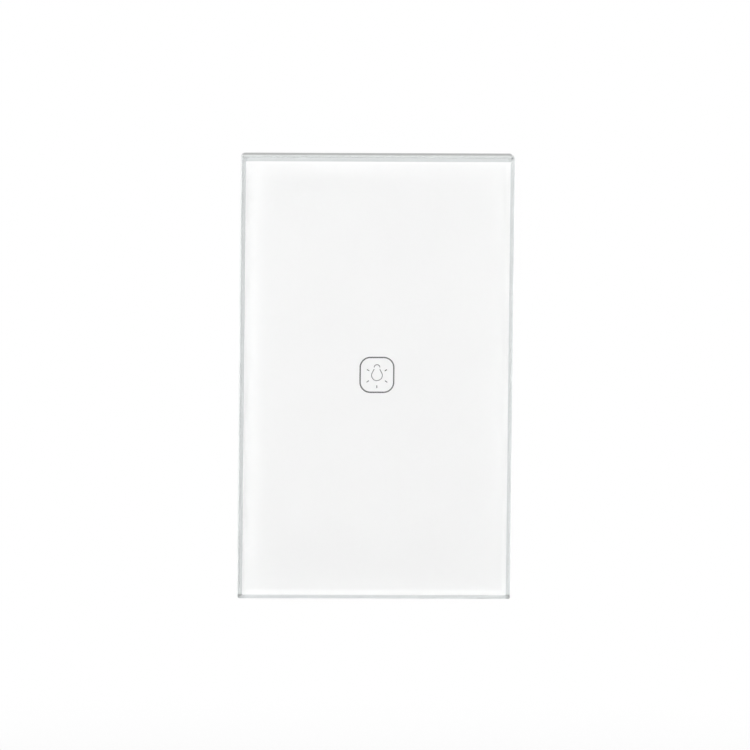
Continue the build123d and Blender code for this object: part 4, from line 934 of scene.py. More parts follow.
def raised(tree, shape, height, times):
    """A shape moved up by a height times a number."""
    return moved(tree, shape, (0.0, 0.0, calc(tree, "MULTIPLY", height, times)))


def together(tree, *shapes):
    """Several shapes as one."""
    return put(tree, "GeometryNodeJoinGeometry", {"Geometry": list(shapes)}).outputs[0]


def swept(tree, path, section, capped=True):
    """A section drawn along a path."""
    inputs = {"Curve": path, "Profile Curve": section, "Fill Caps": capped}
    return put(tree, "GeometryNodeCurveToMesh", inputs).outputs[0]


def rectangle(tree, width, height):
    """A rectangle as a curve."""
    sides = {"Width": width, "Height": height}
    return put(tree, "GeometryNodeCurvePrimitiveQuadrilateral", sides).outputs[0]


def prism(tree, sides, radius, depth, fills=1, rings=1):
    """A prism or a round bar about Z, centred."""
    return put(tree, "GeometryNodeMeshCylinder", {
        "Vertices": sides, "Side Segments": rings, "Fill Segments": fills, "Radius": radius, "Depth": depth,
    }).outputs[0]


def frustum(tree, sides, low, high, depth, rings=1):
    """A cone or pyramid without its tip, standing on Z nothing."""
    return put(tree, "GeometryNodeMeshCone", {
        "Vertices": sides, "Side Segments": rings, "Radius Bottom": low, "Radius Top": high, "Depth": depth,
    }).outputs[0]


def reshaped(tree, shape, across, upward):
    """Moves every point: its distance from the axis times one socket, its height to another."""
    parts = parts_of(tree, put(tree, "GeometryNodeInputPosition").outputs[0])
    sides = [calc(tree, "MULTIPLY", parts[axis], across) for axis in ("X", "Y")]
    place = vector(tree, *sides, upward)
    return put(tree, "GeometryNodeSetPosition", {"Geometry": shape, "Position": place}).outputs[0]


def position_parts(tree):
    """Height of a point, and its distance from the axis."""
    parts = parts_of(tree, put(tree, "GeometryNodeInputPosition").outputs[0])
    return parts["Z"], size_of(tree, vector(tree, parts["X"], parts["Y"], 0.0))


def screw_tree():
    """Pan-head screw with a cross recess, a threaded shank and a pointed end. Its seat is at Z nothing."""
    tree, given = geometry_tree("pan_head_screw", {
        "Head Radius": 2.4 * MM, "Head Height": 1.4 * MM, "Recess Width": 0.6 * MM, "Recess Depth": 0.8 * MM,
        "Shank Radius": 1.2 * MM, "Shank Length": 10 * MM, "Thread Pitch": 0.7 * MM,
    })
    dome_drop, dome_power = 0.42, 3.0
    arm_share, foot_share, side_of_square = 0.86, 0.55, 1.4
    core_share, point_share = 0.84, 0.35
    height, radius = given["Head Height"], given["Head Radius"]
    head = raised(tree, prism(tree, 48, radius, height, fills=10, rings=3), height, 0.5)
    level, reach = position_parts(tree)
    outward = calc(tree, "DIVIDE", reach, radius)
    kept = calc(tree, "MULTIPLY_ADD", calc(tree, "POWER", outward, dome_power), -dome_drop, 1.0)
    head = reshaped(tree, head, 1.0, calc(tree, "MULTIPLY", level, kept))
    arm = calc(tree, "MULTIPLY", radius, arm_share)
    arm_foot = calc(tree, "MULTIPLY", arm, foot_share)
    deep = given["Recess Depth"]
    slot = frustum(tree, 4, arm_foot, arm, calc(tree, "MULTIPLY", deep, 2.0))
    slot = moved(tree, slot, turn=EIGHTH_TURN)
    thin = calc(tree, "DIVIDE", given["Recess Width"], calc(tree, "MULTIPLY", arm, side_of_square))
    slot = moved(tree, slot, (0.0, 0.0, calc(tree, "SUBTRACT", height, deep)), scale=(1.0, thin, 1.0))
    crossed = moved(tree, slot, turn=(0.0, 0.0, math.radians(90)))
    cut = put(tree, "GeometryNodeMeshBoolean", {"Mesh 1": head, "Mesh 2": [slot, crossed]},
              operation="DIFFERENCE", solver="EXACT").outputs[0]
    long, shank = given["Shank Length"], given["Shank Radius"]
    straight = calc(tree, "SUBTRACT", long, shank)
    core = calc(tree, "MULTIPLY", shank, core_share)
    point = calc(tree, "MULTIPLY", core, point_share)
    bar = raised(tree, prism(tree, 24, core, straight), straight, -0.5)
    tip = raised(tree, frustum(tree, 24, point, core, shank), long, -1.0)
    spiral = put(tree, "GeometryNodeCurveSpiral", {
        "Resolution": 20, "Rotations": calc(tree, "DIVIDE", straight, given["Thread Pitch"]),
        "Start Radius": core, "End Radius": core, "Height": straight,
    }).outputs[0]
    ridge = put(tree, "GeometryNodeCurvePrimitiveCircle", {
        "Resolution": 4, "Radius": calc(tree, "SUBTRACT", shank, core),
    }).outputs[0]
    thread = raised(tree, swept(tree, spiral, ridge), straight, -1.0)
    return repeat_on_places(tree, given, together(tree, cut, bar, tip, thread))


def solder_tree():
    """Solder joint: a concave cone that climbs the pin in its middle. It stands on Z nothing."""
    tree, given = geometry_tree("solder_joint", {
        "Pad Radius": 0.9 * MM, "Pin Radius": 0.35 * MM, "Height": 0.5 * MM,
    })
    cone = frustum(tree, 20, given["Pad Radius"], given["Pad Radius"], given["Height"], rings=5)
    hollow = 0.45
    level, _ = position_parts(tree)
    climbed = calc(tree, "POWER", calc(tree, "DIVIDE", level, given["Height"]), hollow)
    narrow = calc(tree, "DIVIDE", given["Pin Radius"], given["Pad Radius"])
    across = calc(tree, "MULTIPLY_ADD", climbed, calc(tree, "SUBTRACT", narrow, 1.0), 1.0)
    return repeat_on_places(tree, given, reshaped(tree, cone, across, level))


def pin_tree():
    """Square pin with pointed ends, from Z nothing downwards."""
    tree, given = geometry_tree("square_pin", {"Half Width": 0.3 * MM, "Length": 7 * MM, "Point": 0.4 * MM})
    tip_share = 0.45
    long, point = given["Length"], given["Point"]
    wide = calc(tree, "MULTIPLY", given["Half Width"], math.sqrt(2))
    narrow = calc(tree, "MULTIPLY", wide, tip_share)
    bar = raised(tree, prism(tree, 4, wide, calc(tree, "MULTIPLY_ADD", point, -2.0, long)), long, -0.5)
    top = raised(tree, frustum(tree, 4, wide, narrow, point), point, -1.0)
    low = raised(tree, frustum(tree, 4, narrow, wide, point), long, -1.0)
    shape = moved(tree, together(tree, bar, top, low), turn=EIGHTH_TURN)
    return repeat_on_places(tree, given, shape)


def lead_tree():
    """Gull-wing lead that leaves a body along +Y at its middle height and lands on Z nothing."""
    tree, given = geometry_tree("gull_wing_lead", {
        "Reach": 0.9 * MM, "Rise": 0.5 * MM, "Width": 0.4 * MM, "Thickness": 0.15 * MM,
    })
    shoulder, ankle = 0.62, 0.3
    reach, rise = given["Reach"], given["Rise"]
    half = calc(tree, "MULTIPLY", given["Thickness"], 0.5)
    path = put(tree, "GeometryNodeCurvePrimitiveBezierSegment", {
        "Resolution": 10,
        "Start": vector(tree, 0.0, 0.0, rise),
        "Start Handle": vector(tree, 0.0, calc(tree, "MULTIPLY", reach, shoulder), rise),
        "End Handle": vector(tree, 0.0, calc(tree, "MULTIPLY", reach, ankle), half),
        "End": vector(tree, 0.0, reach, half),
    }).outputs[0]
    section = rectangle(tree, given["Width"], given["Thickness"])
    return repeat_on_places(tree, given, swept(tree, path, section))


def block_tree():
    """Small block, such as a chip part's body or end cap, standing on Z nothing."""
    tree, given = geometry_tree("small_block", {"Length": 2 * MM, "Width": 1.2 * MM, "Height": 0.7 * MM})
    size = vector(tree, given["Length"], given["Width"], given["Height"])
    cube = put(tree, "GeometryNodeMeshCube", {"Size": size}).outputs[0]
    return repeat_on_places(tree, given, raised(tree, cube, given["Height"], 0.5))


def outline_tree():
    """A thin flat line round a rectangle with round corners, standing on Z nothing."""
    tree, given = geometry_tree("line_round_part", {
        "Length": 4 * MM, "Width": 2 * MM, "Corner": 0.3 * MM, "Line": 0.18 * MM, "Thickness": 0.03 * MM,
    })
    loop = {"Curve": rectangle(tree, given["Length"], given["Width"]), "Radius": given["Corner"], "Count": 6}
    rounded = put(tree, "GeometryNodeFilletCurve", loop, mode="POLY").outputs[0]
    strip = swept(tree, rounded, rectangle(tree, given["Line"], given["Thickness"]), capped=False)
    return repeat_on_places(tree, given, raised(tree, strip, given["Thickness"], 0.5))


TREE_MAKERS = {
    "line_round_part": outline_tree,
    "pan_head_screw": screw_tree,
    "solder_joint": solder_tree,
    "square_pin": pin_tree,
    "gull_wing_lead": lead_tree,
    "small_block": block_tree,
}


def grown(name, tree_name, places, finish, turn, edge=0.0, **sizes):
    """A piece that a tree repeats on places. The tree works along +Z, and the turn gives its real axis."""
    back = turn.inverted()
    mesh = bpy.data.meshes.new(name)
    mesh.from_pydata([back @ Vector(place) for place in places], [], [])
    piece = new_object(name, mesh)
    tree = bpy.data.node_groups.get(tree_name) or TREE_MAKERS[tree_name]()
    nodes = piece.modifiers.new("shape", "NODES")
    nodes.node_group = tree
    values = {label.replace("_", " "): value for label, value in sizes.items()}
    values["Finish"] = material(finish)
    for item in tree.interface.items_tree:
        if item.in_out == "INPUT" and item.name in values:
            nodes[item.identifier] = values[item.name]
    settled(piece)
    coat(piece, finish)
    piece.data.transform(turn)
    shaded(piece.data, angle=SHARP_ANGLE)
    if edge:
        rounded_edges(piece, edge, weighted=False)
    return piece


def merged(name, pieces):
    """Several pieces as one, with the finish of the first."""
    shape = bmesh.new()
    for piece in pieces:
        shape.from_mesh(piece.data)
    finish = pieces[0].data.materials[0]
    mesh = mesh_from(shape, name)
    mesh.materials.append(finish)
    for piece in pieces:
        bpy.data.objects.remove(piece)
    return new_object(name, mesh)


def solid_screws(name, node, turn, sizes):
    """The screws of a CAD node, each with its real recess and thread."""
    boxes = islands(node)
    low, high = boxes[0]
    radius = (high.x - low.x) / 2
    head, shank = SCREWS.get(node, TERMINAL_SCREW)
    places = [on_level(box, box[0].y + head if turn is TO_ROOM else box[1].y - head) for box in boxes]
    return place_piece(grown(
        name, "pan_head_screw", places, "screw_steel", turn,
        Head_Radius=radius, Head_Height=head, Shank_Radius=shank, Shank_Length=high.y - low.y - head,
        Recess_Width=sizes.recess_width * radius / RECESS_HEAD, Recess_Depth=0.55 * head,
        Thread_Pitch=sizes.thread_pitch,
    ), None, node)


class MakeGlass(bpy.types.Operator):
    """Make the clear glass with its bevel"""

    bl_idname = "light_switch.glass"
    bl_label = "Glass"

    def execute(self, context):
        sizes = context.scene.switch_sizes
        low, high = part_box("glass_panel")
        back = high.y + sizes.ink_contact
        bevel_end = low.y + sizes.bevel_depth
        arris_start = back - sizes.rear_arris
        profile = eased([
            (sizes.rear_arris, back), (0.0, arris_start), (0.0, bevel_end), (sizes.bevel, low.y),
            (2 * sizes.bevel, low.y),
        ], sizes.glass_softness)
        centre_x, _, centre_z = on_level((low, high), back)
        pane = lofted("glass_pane", (centre_x, centre_z), high.x - low.x, high.z - low.z, sizes.glass_corner,
                      profile, steps=10)
        pane = place_piece(rounded_edges(pane, 0.0), "clear_glass", "glass_panel")
        pane.data.materials.append(material("ground_glass"))
        for face in pane.data.polygons:
            if bevel_end < face.center.y < arris_start:
                face.material_index = 1
        return {"FINISHED"}


class DressPrint(bpy.types.Operator):
    """Finish the ink and the tape behind the glass"""

    bl_idname = "light_switch.print"
    bl_label = "Ink and tape"

    def execute(self, context):
        dress("back_print", "white_ink")
        dress("icon_print", "grey_ink")
        dress("adhesive_tape", "foam_tape")
        return {"FINISHED"}


class MakeCarrier(bpy.types.Operator):
    """Make the carrier behind the glass and its claws"""

    bl_idname = "light_switch.carrier"
    bl_label = "Carrier and claws"

    def execute(self, context):
        sizes = context.scene.switch_sizes
        softened("carrier_moulding", "panel_carrier", "carrier_plastic", sizes.thin_edge)
        softened("claw_tongues", "snap_claws", "carrier_plastic", sizes.thin_edge)
        return {"FINISHED"}


class MakeWallFrame(bpy.types.Operator):
    """Make the wall frame, the steel strap and their screws"""

    bl_idname = "light_switch.wall_frame"
    bl_label = "Wall frame and strap"

    def execute(self, context):
        sizes = context.scene.switch_sizes
        softened("wall_frame", "chassis_frame", "frame_plastic", sizes.moulded_edge)
        softened("steel_strap", "mounting_strap", "strap_steel", sizes.punched_edge)
        solid_screws("clamp_screws", "housing_screws", TO_ROOM, sizes)
        return {"FINISHED"}


class MakeTouchSide(bpy.types.Operator):
    """Make the tray and the touch board with its light guide and screws"""

    bl_idname = "light_switch.touch_side"
    bl_label = "Tray and touch board"

    def execute(self, context):
        sizes = context.scene.switch_sizes
        softened("barrier_tray", "insulating_tray", "tray_plastic", sizes.thin_edge)
        dress("touch_board", "touch_laminate")
        softened("light_well", "light_guide", "milky_plastic", sizes.thin_edge)
        solid_screws("tray_screws", "board_screws", TO_ROOM, sizes)
        self.make_lamps()
        return {"FINISHED"}

    def make_lamps(self):
        """Indicator lamps: a pale body with a yellow phosphor window."""
        boxes = islands("indicator_leds")
        low, high = boxes[0]
        wide, tall = high.x - low.x, high.z - low.z
        window = 0.7
        rise = 0.08 * MM
        places = [on_level(box, box[1].y) for box in boxes]
        body = grown("lamp_bodies", "small_block", places, "lamp_body", TO_ROOM, edge=0.08 * MM,
                     Length=wide, Width=tall, Height=high.y - low.y - rise)
        place_piece(body, None, "indicator_leds")
        faces = [on_level(box, low.y + 2 * rise) for box in boxes]
        glow = grown("lamp_windows", "small_block", faces, "lamp_phosphor", TO_ROOM, edge=0.04 * MM,
                     Length=window * wide, Width=window * tall, Height=2 * rise)
        place_piece(glow, None, "indicator_leds")


class MakeTouchSpring(bpy.types.Operator):
    """Make the coil spring that carries the touch signal"""

    bl_idname = "light_switch.touch_spring"
    bl_label = "Touch spring"

    def execute(self, context):
        sizes = context.scene.switch_sizes
        wire = sizes.spring_wire
        end, bend = 0.9 * MM, 1.0 * MM
        low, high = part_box("touch_spring")
        centre_x, _, centre_z = on_level(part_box("light_guide"), end)
        radius = centre_x - low.x - wire
        front = low.y + wire
        turn_steps, bend_steps = 48, 8
        coil_steps = sizes.spring_turns * turn_steps
        points = []
        for step in range(coil_steps + 1):
            angle = 2 * math.pi * step / turn_steps
            depth = front + (end - front) * step / coil_steps
            points.append((centre_x + radius * math.cos(angle), depth, centre_z + radius * math.sin(angle)))
        for step in range(1, bend_steps + 1):
            angle = math.radians(90 * step / bend_steps)
            depth = end + bend * (1 - math.cos(angle))
            points.append((centre_x + radius, depth, centre_z + bend * math.sin(angle)))
        points.append((centre_x + radius, high.y, centre_z + bend))
        place_piece(tube("touch_coil", points, wire), "spring_steel", "touch_spring")
        return {"FINISHED"}


class MakeRadioModule(bpy.types.Operator):
    """Make the radio board with its can and antenna"""

    bl_idname = "light_switch.radio_module"
    bl_label = "Radio module"

    def execute(self, context):
        sizes = context.scene.switch_sizes
        dress("wireless_module", "module_laminate")
        softened("radio_can", "module_shield", "can_metal", sizes.thin_edge)
        dress("module_antenna", "gold")
        low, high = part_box("wireless_module")
        shield_low, shield_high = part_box("module_shield")
        pitch, inset = 1.5 * MM, 0.45 * MM
        count = int((shield_high.x - shield_low.x) / pitch)
        rows = (low.z + inset, high.z - inset)
        places = [(shield_low.x + (index + 0.5) * pitch, low.y, z) for index in range(count) for z in rows]
        pads = grown("module_pads", "small_block", places, "gold", TO_ROOM,
                     Length=0.8 * MM, Width=2 * inset, Height=0.03 * MM)
        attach(pads, "root")
        return {"FINISHED"}


class MakeChips(bpy.types.Operator):
    """Make the leaded chips and the small parts on both boards"""

    bl_idname = "light_switch.chips"
    bl_label = "Chips and small parts"

    def execute(self, context):
        sizes = context.scene.switch_sizes
        self.make_chip("touch_controller", "touch_chip", TO_ROOM, 4, sizes.lead_pitch, sizes)
        self.make_chip("supply_driver", "driver_chip", TO_WALL, 4, sizes.lead_pitch, sizes)
        self.make_chip("bridge_rectifier", "rectifier_chip", TO_WALL, 2, 2 * sizes.lead_pitch, sizes)
        self.make_small_parts()
        return {"FINISHED"}

    def make_chip(self, name, node, turn, leads, pitch, sizes):
        """A moulded body with drafted sides, and gull-wing leads along both long sides."""
        low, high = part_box(node)
        to_room = turn is TO_ROOM
        board, top = (high.y, low.y) if to_room else (low.y, high.y)
        height = abs(top - board)
        forward = (top - board) / height
        centre_x, _, centre_z = on_level((low, high), board)
        reach = sizes.lead_reach
        row = (high.z - low.z) / 2 - reach
        draft, lift, corner, edge = 0.1 * MM, 0.12 * MM, 0.15 * MM, 0.06 * MM
        parting = 0.45 * height
        profile = [(draft, board + forward * lift), (0.0, board + forward * parting), (draft, top)]
        body = lofted(name, (centre_x, centre_z), high.x - low.x, 2 * row, corner, profile, steps=3)
        place_piece(rounded_edges(body, edge, weighted=False), "chip_epoxy", node)
        parts = []
        for side in (-1, 1):
            places = [
                (centre_x + (index - (leads - 1) / 2) * pitch, board, centre_z + side * row)
                for index in range(leads)
            ]
            facing = turn @ Matrix.Rotation(math.radians(0 if (side > 0) == to_room else 180), 4, "Z")
            parts.append(grown(f"{name}_side", "gull_wing_lead", places, "tinned", facing,
                               Reach=reach, Rise=parting - lift, Width=0.4 * MM, Thickness=0.14 * MM))
            pads = [(x, y, z + side * 0.72 * reach) for x, y, z in places]
            parts.append(grown(f"{name}_pads", "small_block", pads, "tinned", turn,
                               Length=0.55 * MM, Width=0.5 * reach, Height=0.04 * MM))
        place_piece(merged(name + "_leads", parts), None, node)

    def make_small_parts(self):
        """Chip resistors and capacitors: dark bodies with tinned ends."""
        boxes = islands("board_passives")
        low, high = boxes[0]
        long, wide, tall = high.x - low.x, high.z - low.z, high.y - low.y
        cap = 0.42 * MM
        proud = 0.03 * MM
        touching = 0.04 * MM
        bodies, ends = [], []
        for board, turn, foot, tag in (
            (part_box("touch_board")[0].y, TO_ROOM, 1, "front"),
            (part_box("power_board")[1].y, TO_WALL, 0, "rear"),
        ):
            middles = [on_level(box, board) for box in boxes if abs(box[foot].y - board) < touching]
            bodies.append(grown(f"bodies_{tag}", "small_block", middles, "resistor_ceramic", turn,
                                edge=0.04 * MM, Length=long - cap, Width=wide - 2 * proud,
                                Height=tall - proud))
            tips = [(x + side * (long - cap) / 2, y, z) for x, y, z in middles for side in (-1, 1)]
            ends.append(grown(f"ends_{tag}", "small_block", tips, "tinned", turn, edge=0.06 * MM,
                              Length=cap, Width=wide, Height=tall))
        place_piece(merged("small_part_bodies", bodies), None, "board_passives")
        place_piece(merged("small_part_ends", ends), None, "board_passives")


class MakeBoardLinks(bpy.types.Operator):
    """Make the plug between the boards, the mains board and the solder joints"""

    bl_idname = "light_switch.board_links"
    bl_label = "Plug and solder"

    def execute(self, context):
        sizes = context.scene.switch_sizes
        dress("power_board", "power_laminate")
        softened("plug_body", "header_body", "connector_plastic", sizes.thin_edge)
        softened("plug_socket", "socket_body", "connector_plastic", sizes.thin_edge)
        boxes = islands("header_pins")
        low, high = boxes[0]
        tops = [on_level(box, box[0].y) for box in boxes]
        pins = grown("plug_pins", "square_pin", tops, "gold", TO_ROOM, Half_Width=(high.x - low.x) / 2,
                     Length=high.y - low.y, Point=0.35 * MM)
        place_piece(pins, None, "header_pins")
        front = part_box("touch_board")[0].y
        seats = [on_level(box, front) for box in boxes]
        joints = grown("plug_solder", "solder_joint", seats, "tinned", TO_ROOM, Pad_Radius=0.85 * MM,
                       Pin_Radius=0.36 * MM, Height=sizes.solder_height)
        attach(joints, "root")
        return {"FINISHED"}


class PrintBoards(bpy.types.Operator):
    """Print the white outlines of the parts on both boards"""

    bl_idname = "light_switch.board_marks"
    bl_label = "Board marks"

    def execute(self, context):
        sizes = context.scene.switch_sizes
        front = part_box("touch_board")[0].y
        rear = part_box("power_board")[1].y
        small = islands("board_passives")
        self.mark("touch_marks", TO_ROOM, front, sizes, [
            *((box, 0.0) for box in small if box[0].y < front),
            (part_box("touch_chip"), 0.0),
            (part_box("wireless_module"), 0.0),
            (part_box("touch_spring"), 0.5),
        ])
        self.mark("supply_marks", TO_WALL, rear, sizes, [
            *((box, 0.0) for box in small if box[0].y > front),
            (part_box("driver_chip"), 0.0),
            (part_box("rectifier_chip"), 0.0),
            (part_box("fuse_resistor"), 0.0),
            (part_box("varistor"), 0.0),
            (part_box("main_capacitor"), 0.5),
            (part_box("output_capacitor"), 0.5),
            (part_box("transformer_core"), 0.0),
        ])
        return {"FINISHED"}

    def mark(self, name, turn, level, sizes, boxes):
        """Lines a little outside of each box. Their corner is a share of its width: a half makes a ring."""
        board_low, board_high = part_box("touch_board" if turn is TO_ROOM else "power_board")
        margin = 0.3 * MM
        nearly_all = 0.995
        lines = []
        for (low, high), corner in boxes:
            wide, tall = high.x - low.x + 2 * margin, high.z - low.z + 2 * margin
            fits_across = low.x - margin > board_low.x and high.x + margin < board_high.x
            if not fits_across or low.z - margin < board_low.z or high.z + margin > board_high.z:
                continue
            place = on_level((low, high), level)
            lines.append(grown(f"{name}_{len(lines)}", "line_round_part", [place], "silkscreen", turn,
                               Length=wide, Width=tall, Line=sizes.silk_line,
                               Corner=max(nearly_all * corner * min(wide, tall), margin)))
        marks = merged(name, lines)
        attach(marks, "root")


class MakeHousing(bpy.types.Operator):
    """Make the box in the wall, with the numbers of its terminals"""

    bl_idname = "light_switch.housing"
    bl_label = "Housing"

    def execute(self, context):
        sizes = context.scene.switch_sizes
        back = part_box("rear_housing")[1].y
        above = 1.6 * MM
        cutters = []
        for number in TERMINALS:
            low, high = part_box(f"terminal_screw_{number}")
            place = Vector(((low.x + high.x) / 2, back - sizes.numeral_depth, high.z + above))
            cutters.append(self.numeral(str(number), place, sizes))
        softened("wall_box_housing", "rear_housing", "housing_plastic", sizes.moulded_edge, cutters=cutters)
        return {"FINISHED"}

    def numeral(self, text, place, sizes):
        """A number that reads from behind, as a solid to cut with."""
        curve = bpy.data.curves.new("numeral", "FONT")
        curve.body = text
        curve.size = sizes.numeral
        curve.extrude = sizes.numeral_depth
        curve.align_x = "CENTER"
        mesh = mesh_of_curve("numeral", curve)
        facing = Matrix(((-1, 0, 0, 0), (0, 0, 1, 0), (0, 1, 0, 0), (0, 0, 0, 1)))
        mesh.transform(Matrix.Translation(place + Vector((0, sizes.numeral_depth, 0))) @ facing)
        return new_object("numeral_solid", mesh)


class MakeTerminals(bpy.types.Operator):
    """Make the terminal block with its bars, cages and screws"""

    bl_idname = "light_switch.terminals"
    bl_label = "Terminals"

    def execute(self, context):
        sizes = context.scene.switch_sizes
        softened("terminal_body", "terminal_block", "terminal_plastic", sizes.moulded_edge)
        softened("current_bars", "terminal_bars", "brass", sizes.thin_edge)
        for number in TERMINALS:
            softened(f"rising_cage_{number}", f"clamp_cage_{number}", "screw_steel", sizes.punched_edge)
            solid_screws(f"clamp_screw_{number}", f"terminal_screw_{number}", TO_WALL, sizes)
        return {"FINISHED"}


class MakeRelay(bpy.types.Operator):
    """Make the relay"""

    bl_idname = "light_switch.relay"
    bl_label = "Relay"

    def execute(self, context):
        sizes = context.scene.switch_sizes
        leaf_edge = 0.05 * MM
        softened("relay_cover", "relay_case", "relay_plastic", sizes.moulded_edge, self.case_marks(sizes))
        for piece, part, finish, edge in (
            ("foot", "base", "dark_bobbin", sizes.thin_edge),
            ("spool", "bobbin", "dark_bobbin", sizes.thin_edge),
            ("coil", "winding", "relay_wire", 0.0),
            ("pole", "core", "soft_iron", sizes.thin_edge),
            ("bracket", "yoke", "soft_iron", sizes.thin_edge),
            ("flap", "armature", "soft_iron", sizes.thin_edge),
            ("leaf", "moving_contact", "silver", leaf_edge),
            ("blade", "fixed_contact", "silver", leaf_edge),
            ("legs", "pins", "brass", leaf_edge),
        ):
            softened(f"relay_{piece}", f"relay_{part}", finish, edge)
        return {"FINISHED"}

    def case_marks(self, sizes):
        """Solids that cut the shallow panel and the round vent into the back of the case."""
        low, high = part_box("relay_case")
        centre_x, _, centre_z = on_level((low, high), high.y)
        border, corner, width = 1.4 * MM, 0.6 * MM, 1.5 * MM
        behind = high.y + 1.0 * MM
        wide, tall = high.x - low.x - 2 * border, high.z - low.z - 2 * border
        panel = lofted("case_panel", (centre_x, centre_z), wide, tall, corner,
                       [(0.0, high.y - sizes.case_recess), (0.0, behind)])
        inset, depth = 2.2 * border, 2.5 * sizes.case_recess
        vent = lofted("case_vent", (high.x - inset, high.z - inset), width, width, width / 2,
                      [(0.0, high.y - depth), (0.0, behind)])
        return [panel, vent]


class MakeSupply(bpy.types.Operator):
    """Make the transformer, the capacitors and the other supply parts"""

    bl_idname = "light_switch.supply"
    bl_label = "Supply parts"

    def execute(self, context):
        sizes = context.scene.switch_sizes
        for name, node, finish, edge in (
            ("ferrite_core", "transformer_core", "ferrite", sizes.thin_edge),
            ("transformer_spool", "transformer_bobbin", "dark_bobbin", sizes.thin_edge),
            ("transformer_coil", "transformer_winding", "winding_tape", sizes.thin_edge),
            ("main_can", "main_capacitor", "main_sleeve", sizes.moulded_edge),
            ("output_can", "output_capacitor", "output_sleeve", sizes.moulded_edge),
            ("varistor_disc", "varistor", "varistor_dip", 0.0),
            ("fuse_body", "fuse_resistor", "resistor_lacquer", 0.0),
            ("film_block", "film_capacitor", "film_box", sizes.moulded_edge),
        ):
            softened(name, node, finish, edge)
        return {"FINISHED"}


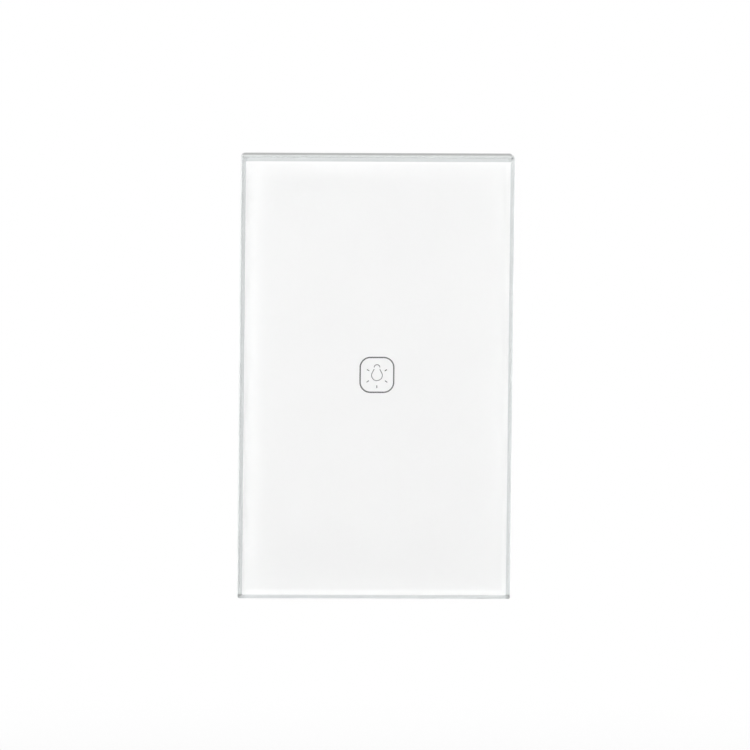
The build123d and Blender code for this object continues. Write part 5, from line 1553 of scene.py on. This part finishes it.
class SetStudio(bpy.types.Operator):
    """Set the floor, the lamps, the world and the camera"""

    bl_idname = "light_switch.studio"
    bl_label = "Studio"

    def execute(self, context):
        scene = context.scene
        studio = scene.studio_sizes
        scene.view_settings.view_transform = "Standard"
        self.make_world(scene, studio)
        self.make_floor(studio)
        fill_share = 0.45
        self.make_lamp("key_lamp", studio, studio.key_power, (-0.55, -0.8, 0.18))
        self.make_lamp("fill_lamp", studio, fill_share * studio.key_power, (0.65, -0.75, 0.02))
        self.make_lamp("back_lamp", studio, studio.back_power, (0.95, 0.65, 0.35))
        self.make_lamp("back_fill_lamp", studio, studio.back_power, (-0.95, 0.65, 0.2))
        self.make_camera(scene, studio)
        return {"FINISHED"}

    def make_world(self, scene, studio):
        """An even pale sky, and plain white for what the camera, mirrors and glass see."""
        world = bpy.data.worlds.new("studio_sky")
        world.use_nodes = True
        scene.world = world
        tree = world.node_tree
        ways = put(tree, "ShaderNodeLightPath").outputs
        seen = calc(tree, "MAXIMUM", ways["Is Camera Ray"],
                    calc(tree, "MAXIMUM", ways["Is Glossy Ray"], ways["Is Transmission Ray"]))
        strength = spread(tree, seen, studio.sky, 1.0)
        feed(tree.nodes["Background"], Color=(1.0, 1.0, 1.0, 1.0), Strength=strength)

    def make_floor(self, studio):
        """A pale round floor that fades out at its rim and can't be seen from below."""
        shape = bmesh.new()
        bmesh.ops.create_circle(shape, cap_ends=True, segments=96, radius=studio.floor_radius)
        level = cad_low.z - studio.floor_drop
        bmesh.ops.translate(shape, verts=shape.verts[:], vec=(0, 0, level))
        floor = new_object("floor", mesh_from(shape, "floor"))
        made, tree, shader = blank_material("pale_floor")
        feed(shader, Base_Color=(*studio.floor_colour, 1.0), Roughness=0.9)
        place = object_axes(tree)
        reach = size_of(tree, vector(tree, place["X"], place["Y"], 0.0))
        start, end = 0.35 * studio.floor_radius, 0.98 * studio.floor_radius
        fade = spread(tree, reach, 0.0, 1.0, start, end, interpolation_type="SMOOTHSTEP")
        hidden = calc(tree, "MAXIMUM", fade, put(tree, "ShaderNodeNewGeometry").outputs["Backfacing"])
        clear = put(tree, "ShaderNodeBsdfTransparent")
        mixed = put(tree, "ShaderNodeMixShader", {0: hidden, 1: shader.outputs[0], 2: clear.outputs[0]})
        feed(tree.nodes["Material Output"], Surface=mixed.outputs[0])
        floor.data.materials.append(made)

    def make_lamp(self, name, studio, power, way):
        """A large soft lamp that looks at the switch from a way."""
        lamp = bpy.data.lights.new(name, "AREA")
        lamp.shape = "DISK"
        lamp.size = studio.lamp_size
        lamp.energy = power
        holder = new_object(name, lamp)
        holder.location = Vector(way).normalized() * studio.lamp_distance
        holder.rotation_mode = "QUATERNION"
        holder.rotation_quaternion = holder.location.to_track_quat("Z", "Y")
        holder.visible_camera = False

    def make_camera(self, scene, studio):
        """The camera of the photograph: a little above and to the left, far away."""
        camera = bpy.data.cameras.new("camera")
        camera.lens = camera.sensor_width * studio.distance / studio.field
        camera.clip_end = 2.5 * studio.distance
        holder = new_object("camera", camera)
        across, rise = studio.azimuth, studio.elevation
        flat = math.cos(rise)
        back = Vector((math.sin(across) * flat, -math.cos(across) * flat, math.sin(rise)))
        aim = Vector((studio.aim_x, cad_low.y, studio.aim_z))
        holder.location = aim + back * studio.distance
        holder.rotation_mode = "QUATERNION"
        level = (-back).to_track_quat("-Z", "Y").to_matrix().to_4x4()
        turned = Matrix.Rotation(studio.roll, 4, back) @ level
        holder.rotation_quaternion = turned.to_quaternion()
        scene.camera = holder


MAKERS = (
    MakeGlass, DressPrint, MakeCarrier, MakeWallFrame, MakeTouchSide, MakeTouchSpring, MakeRadioModule,
    MakeChips, MakeBoardLinks, PrintBoards, MakeHousing, MakeTerminals, MakeRelay, MakeSupply, SetStudio,
)


class SwitchPanel(bpy.types.Panel):
    """The switch's makers and sizes in the sidebar"""

    bl_idname = "VIEW3D_PT_light_switch"
    bl_label = "Light switch"
    bl_space_type = "VIEW_3D"
    bl_region_type = "UI"
    bl_category = "Light Switch"

    def draw(self, context):
        for maker in MAKERS:
            self.layout.operator(maker.bl_idname)
        for group in (context.scene.switch_sizes, context.scene.switch_colours, context.scene.studio_sizes):
            for name in group.__annotations__:
                self.layout.prop(group, name)


GROUPS = {"switch_sizes": SwitchSizes, "switch_colours": SwitchColours, "studio_sizes": StudioSizes}


def register():
    """Registers the classes and gives the scene its settings."""
    for name, group in GROUPS.items():
        bpy.utils.register_class(group)
        setattr(bpy.types.Scene, name, PointerProperty(type=group))
    for maker in (*MAKERS, SwitchPanel):
        bpy.utils.register_class(maker)


def unregister():
    """Takes the classes and the settings away again."""
    for maker in (SwitchPanel, *reversed(MAKERS)):
        bpy.utils.unregister_class(maker)
    for name, group in GROUPS.items():
        delattr(bpy.types.Scene, name)
        bpy.utils.unregister_class(group)


def main():
    """Makes every piece and the studio."""
    register()
    for maker in MAKERS:
        family, name = maker.bl_idname.split(".")
        getattr(getattr(bpy.ops, family), name)()


if __name__ == "__main__":
    main()
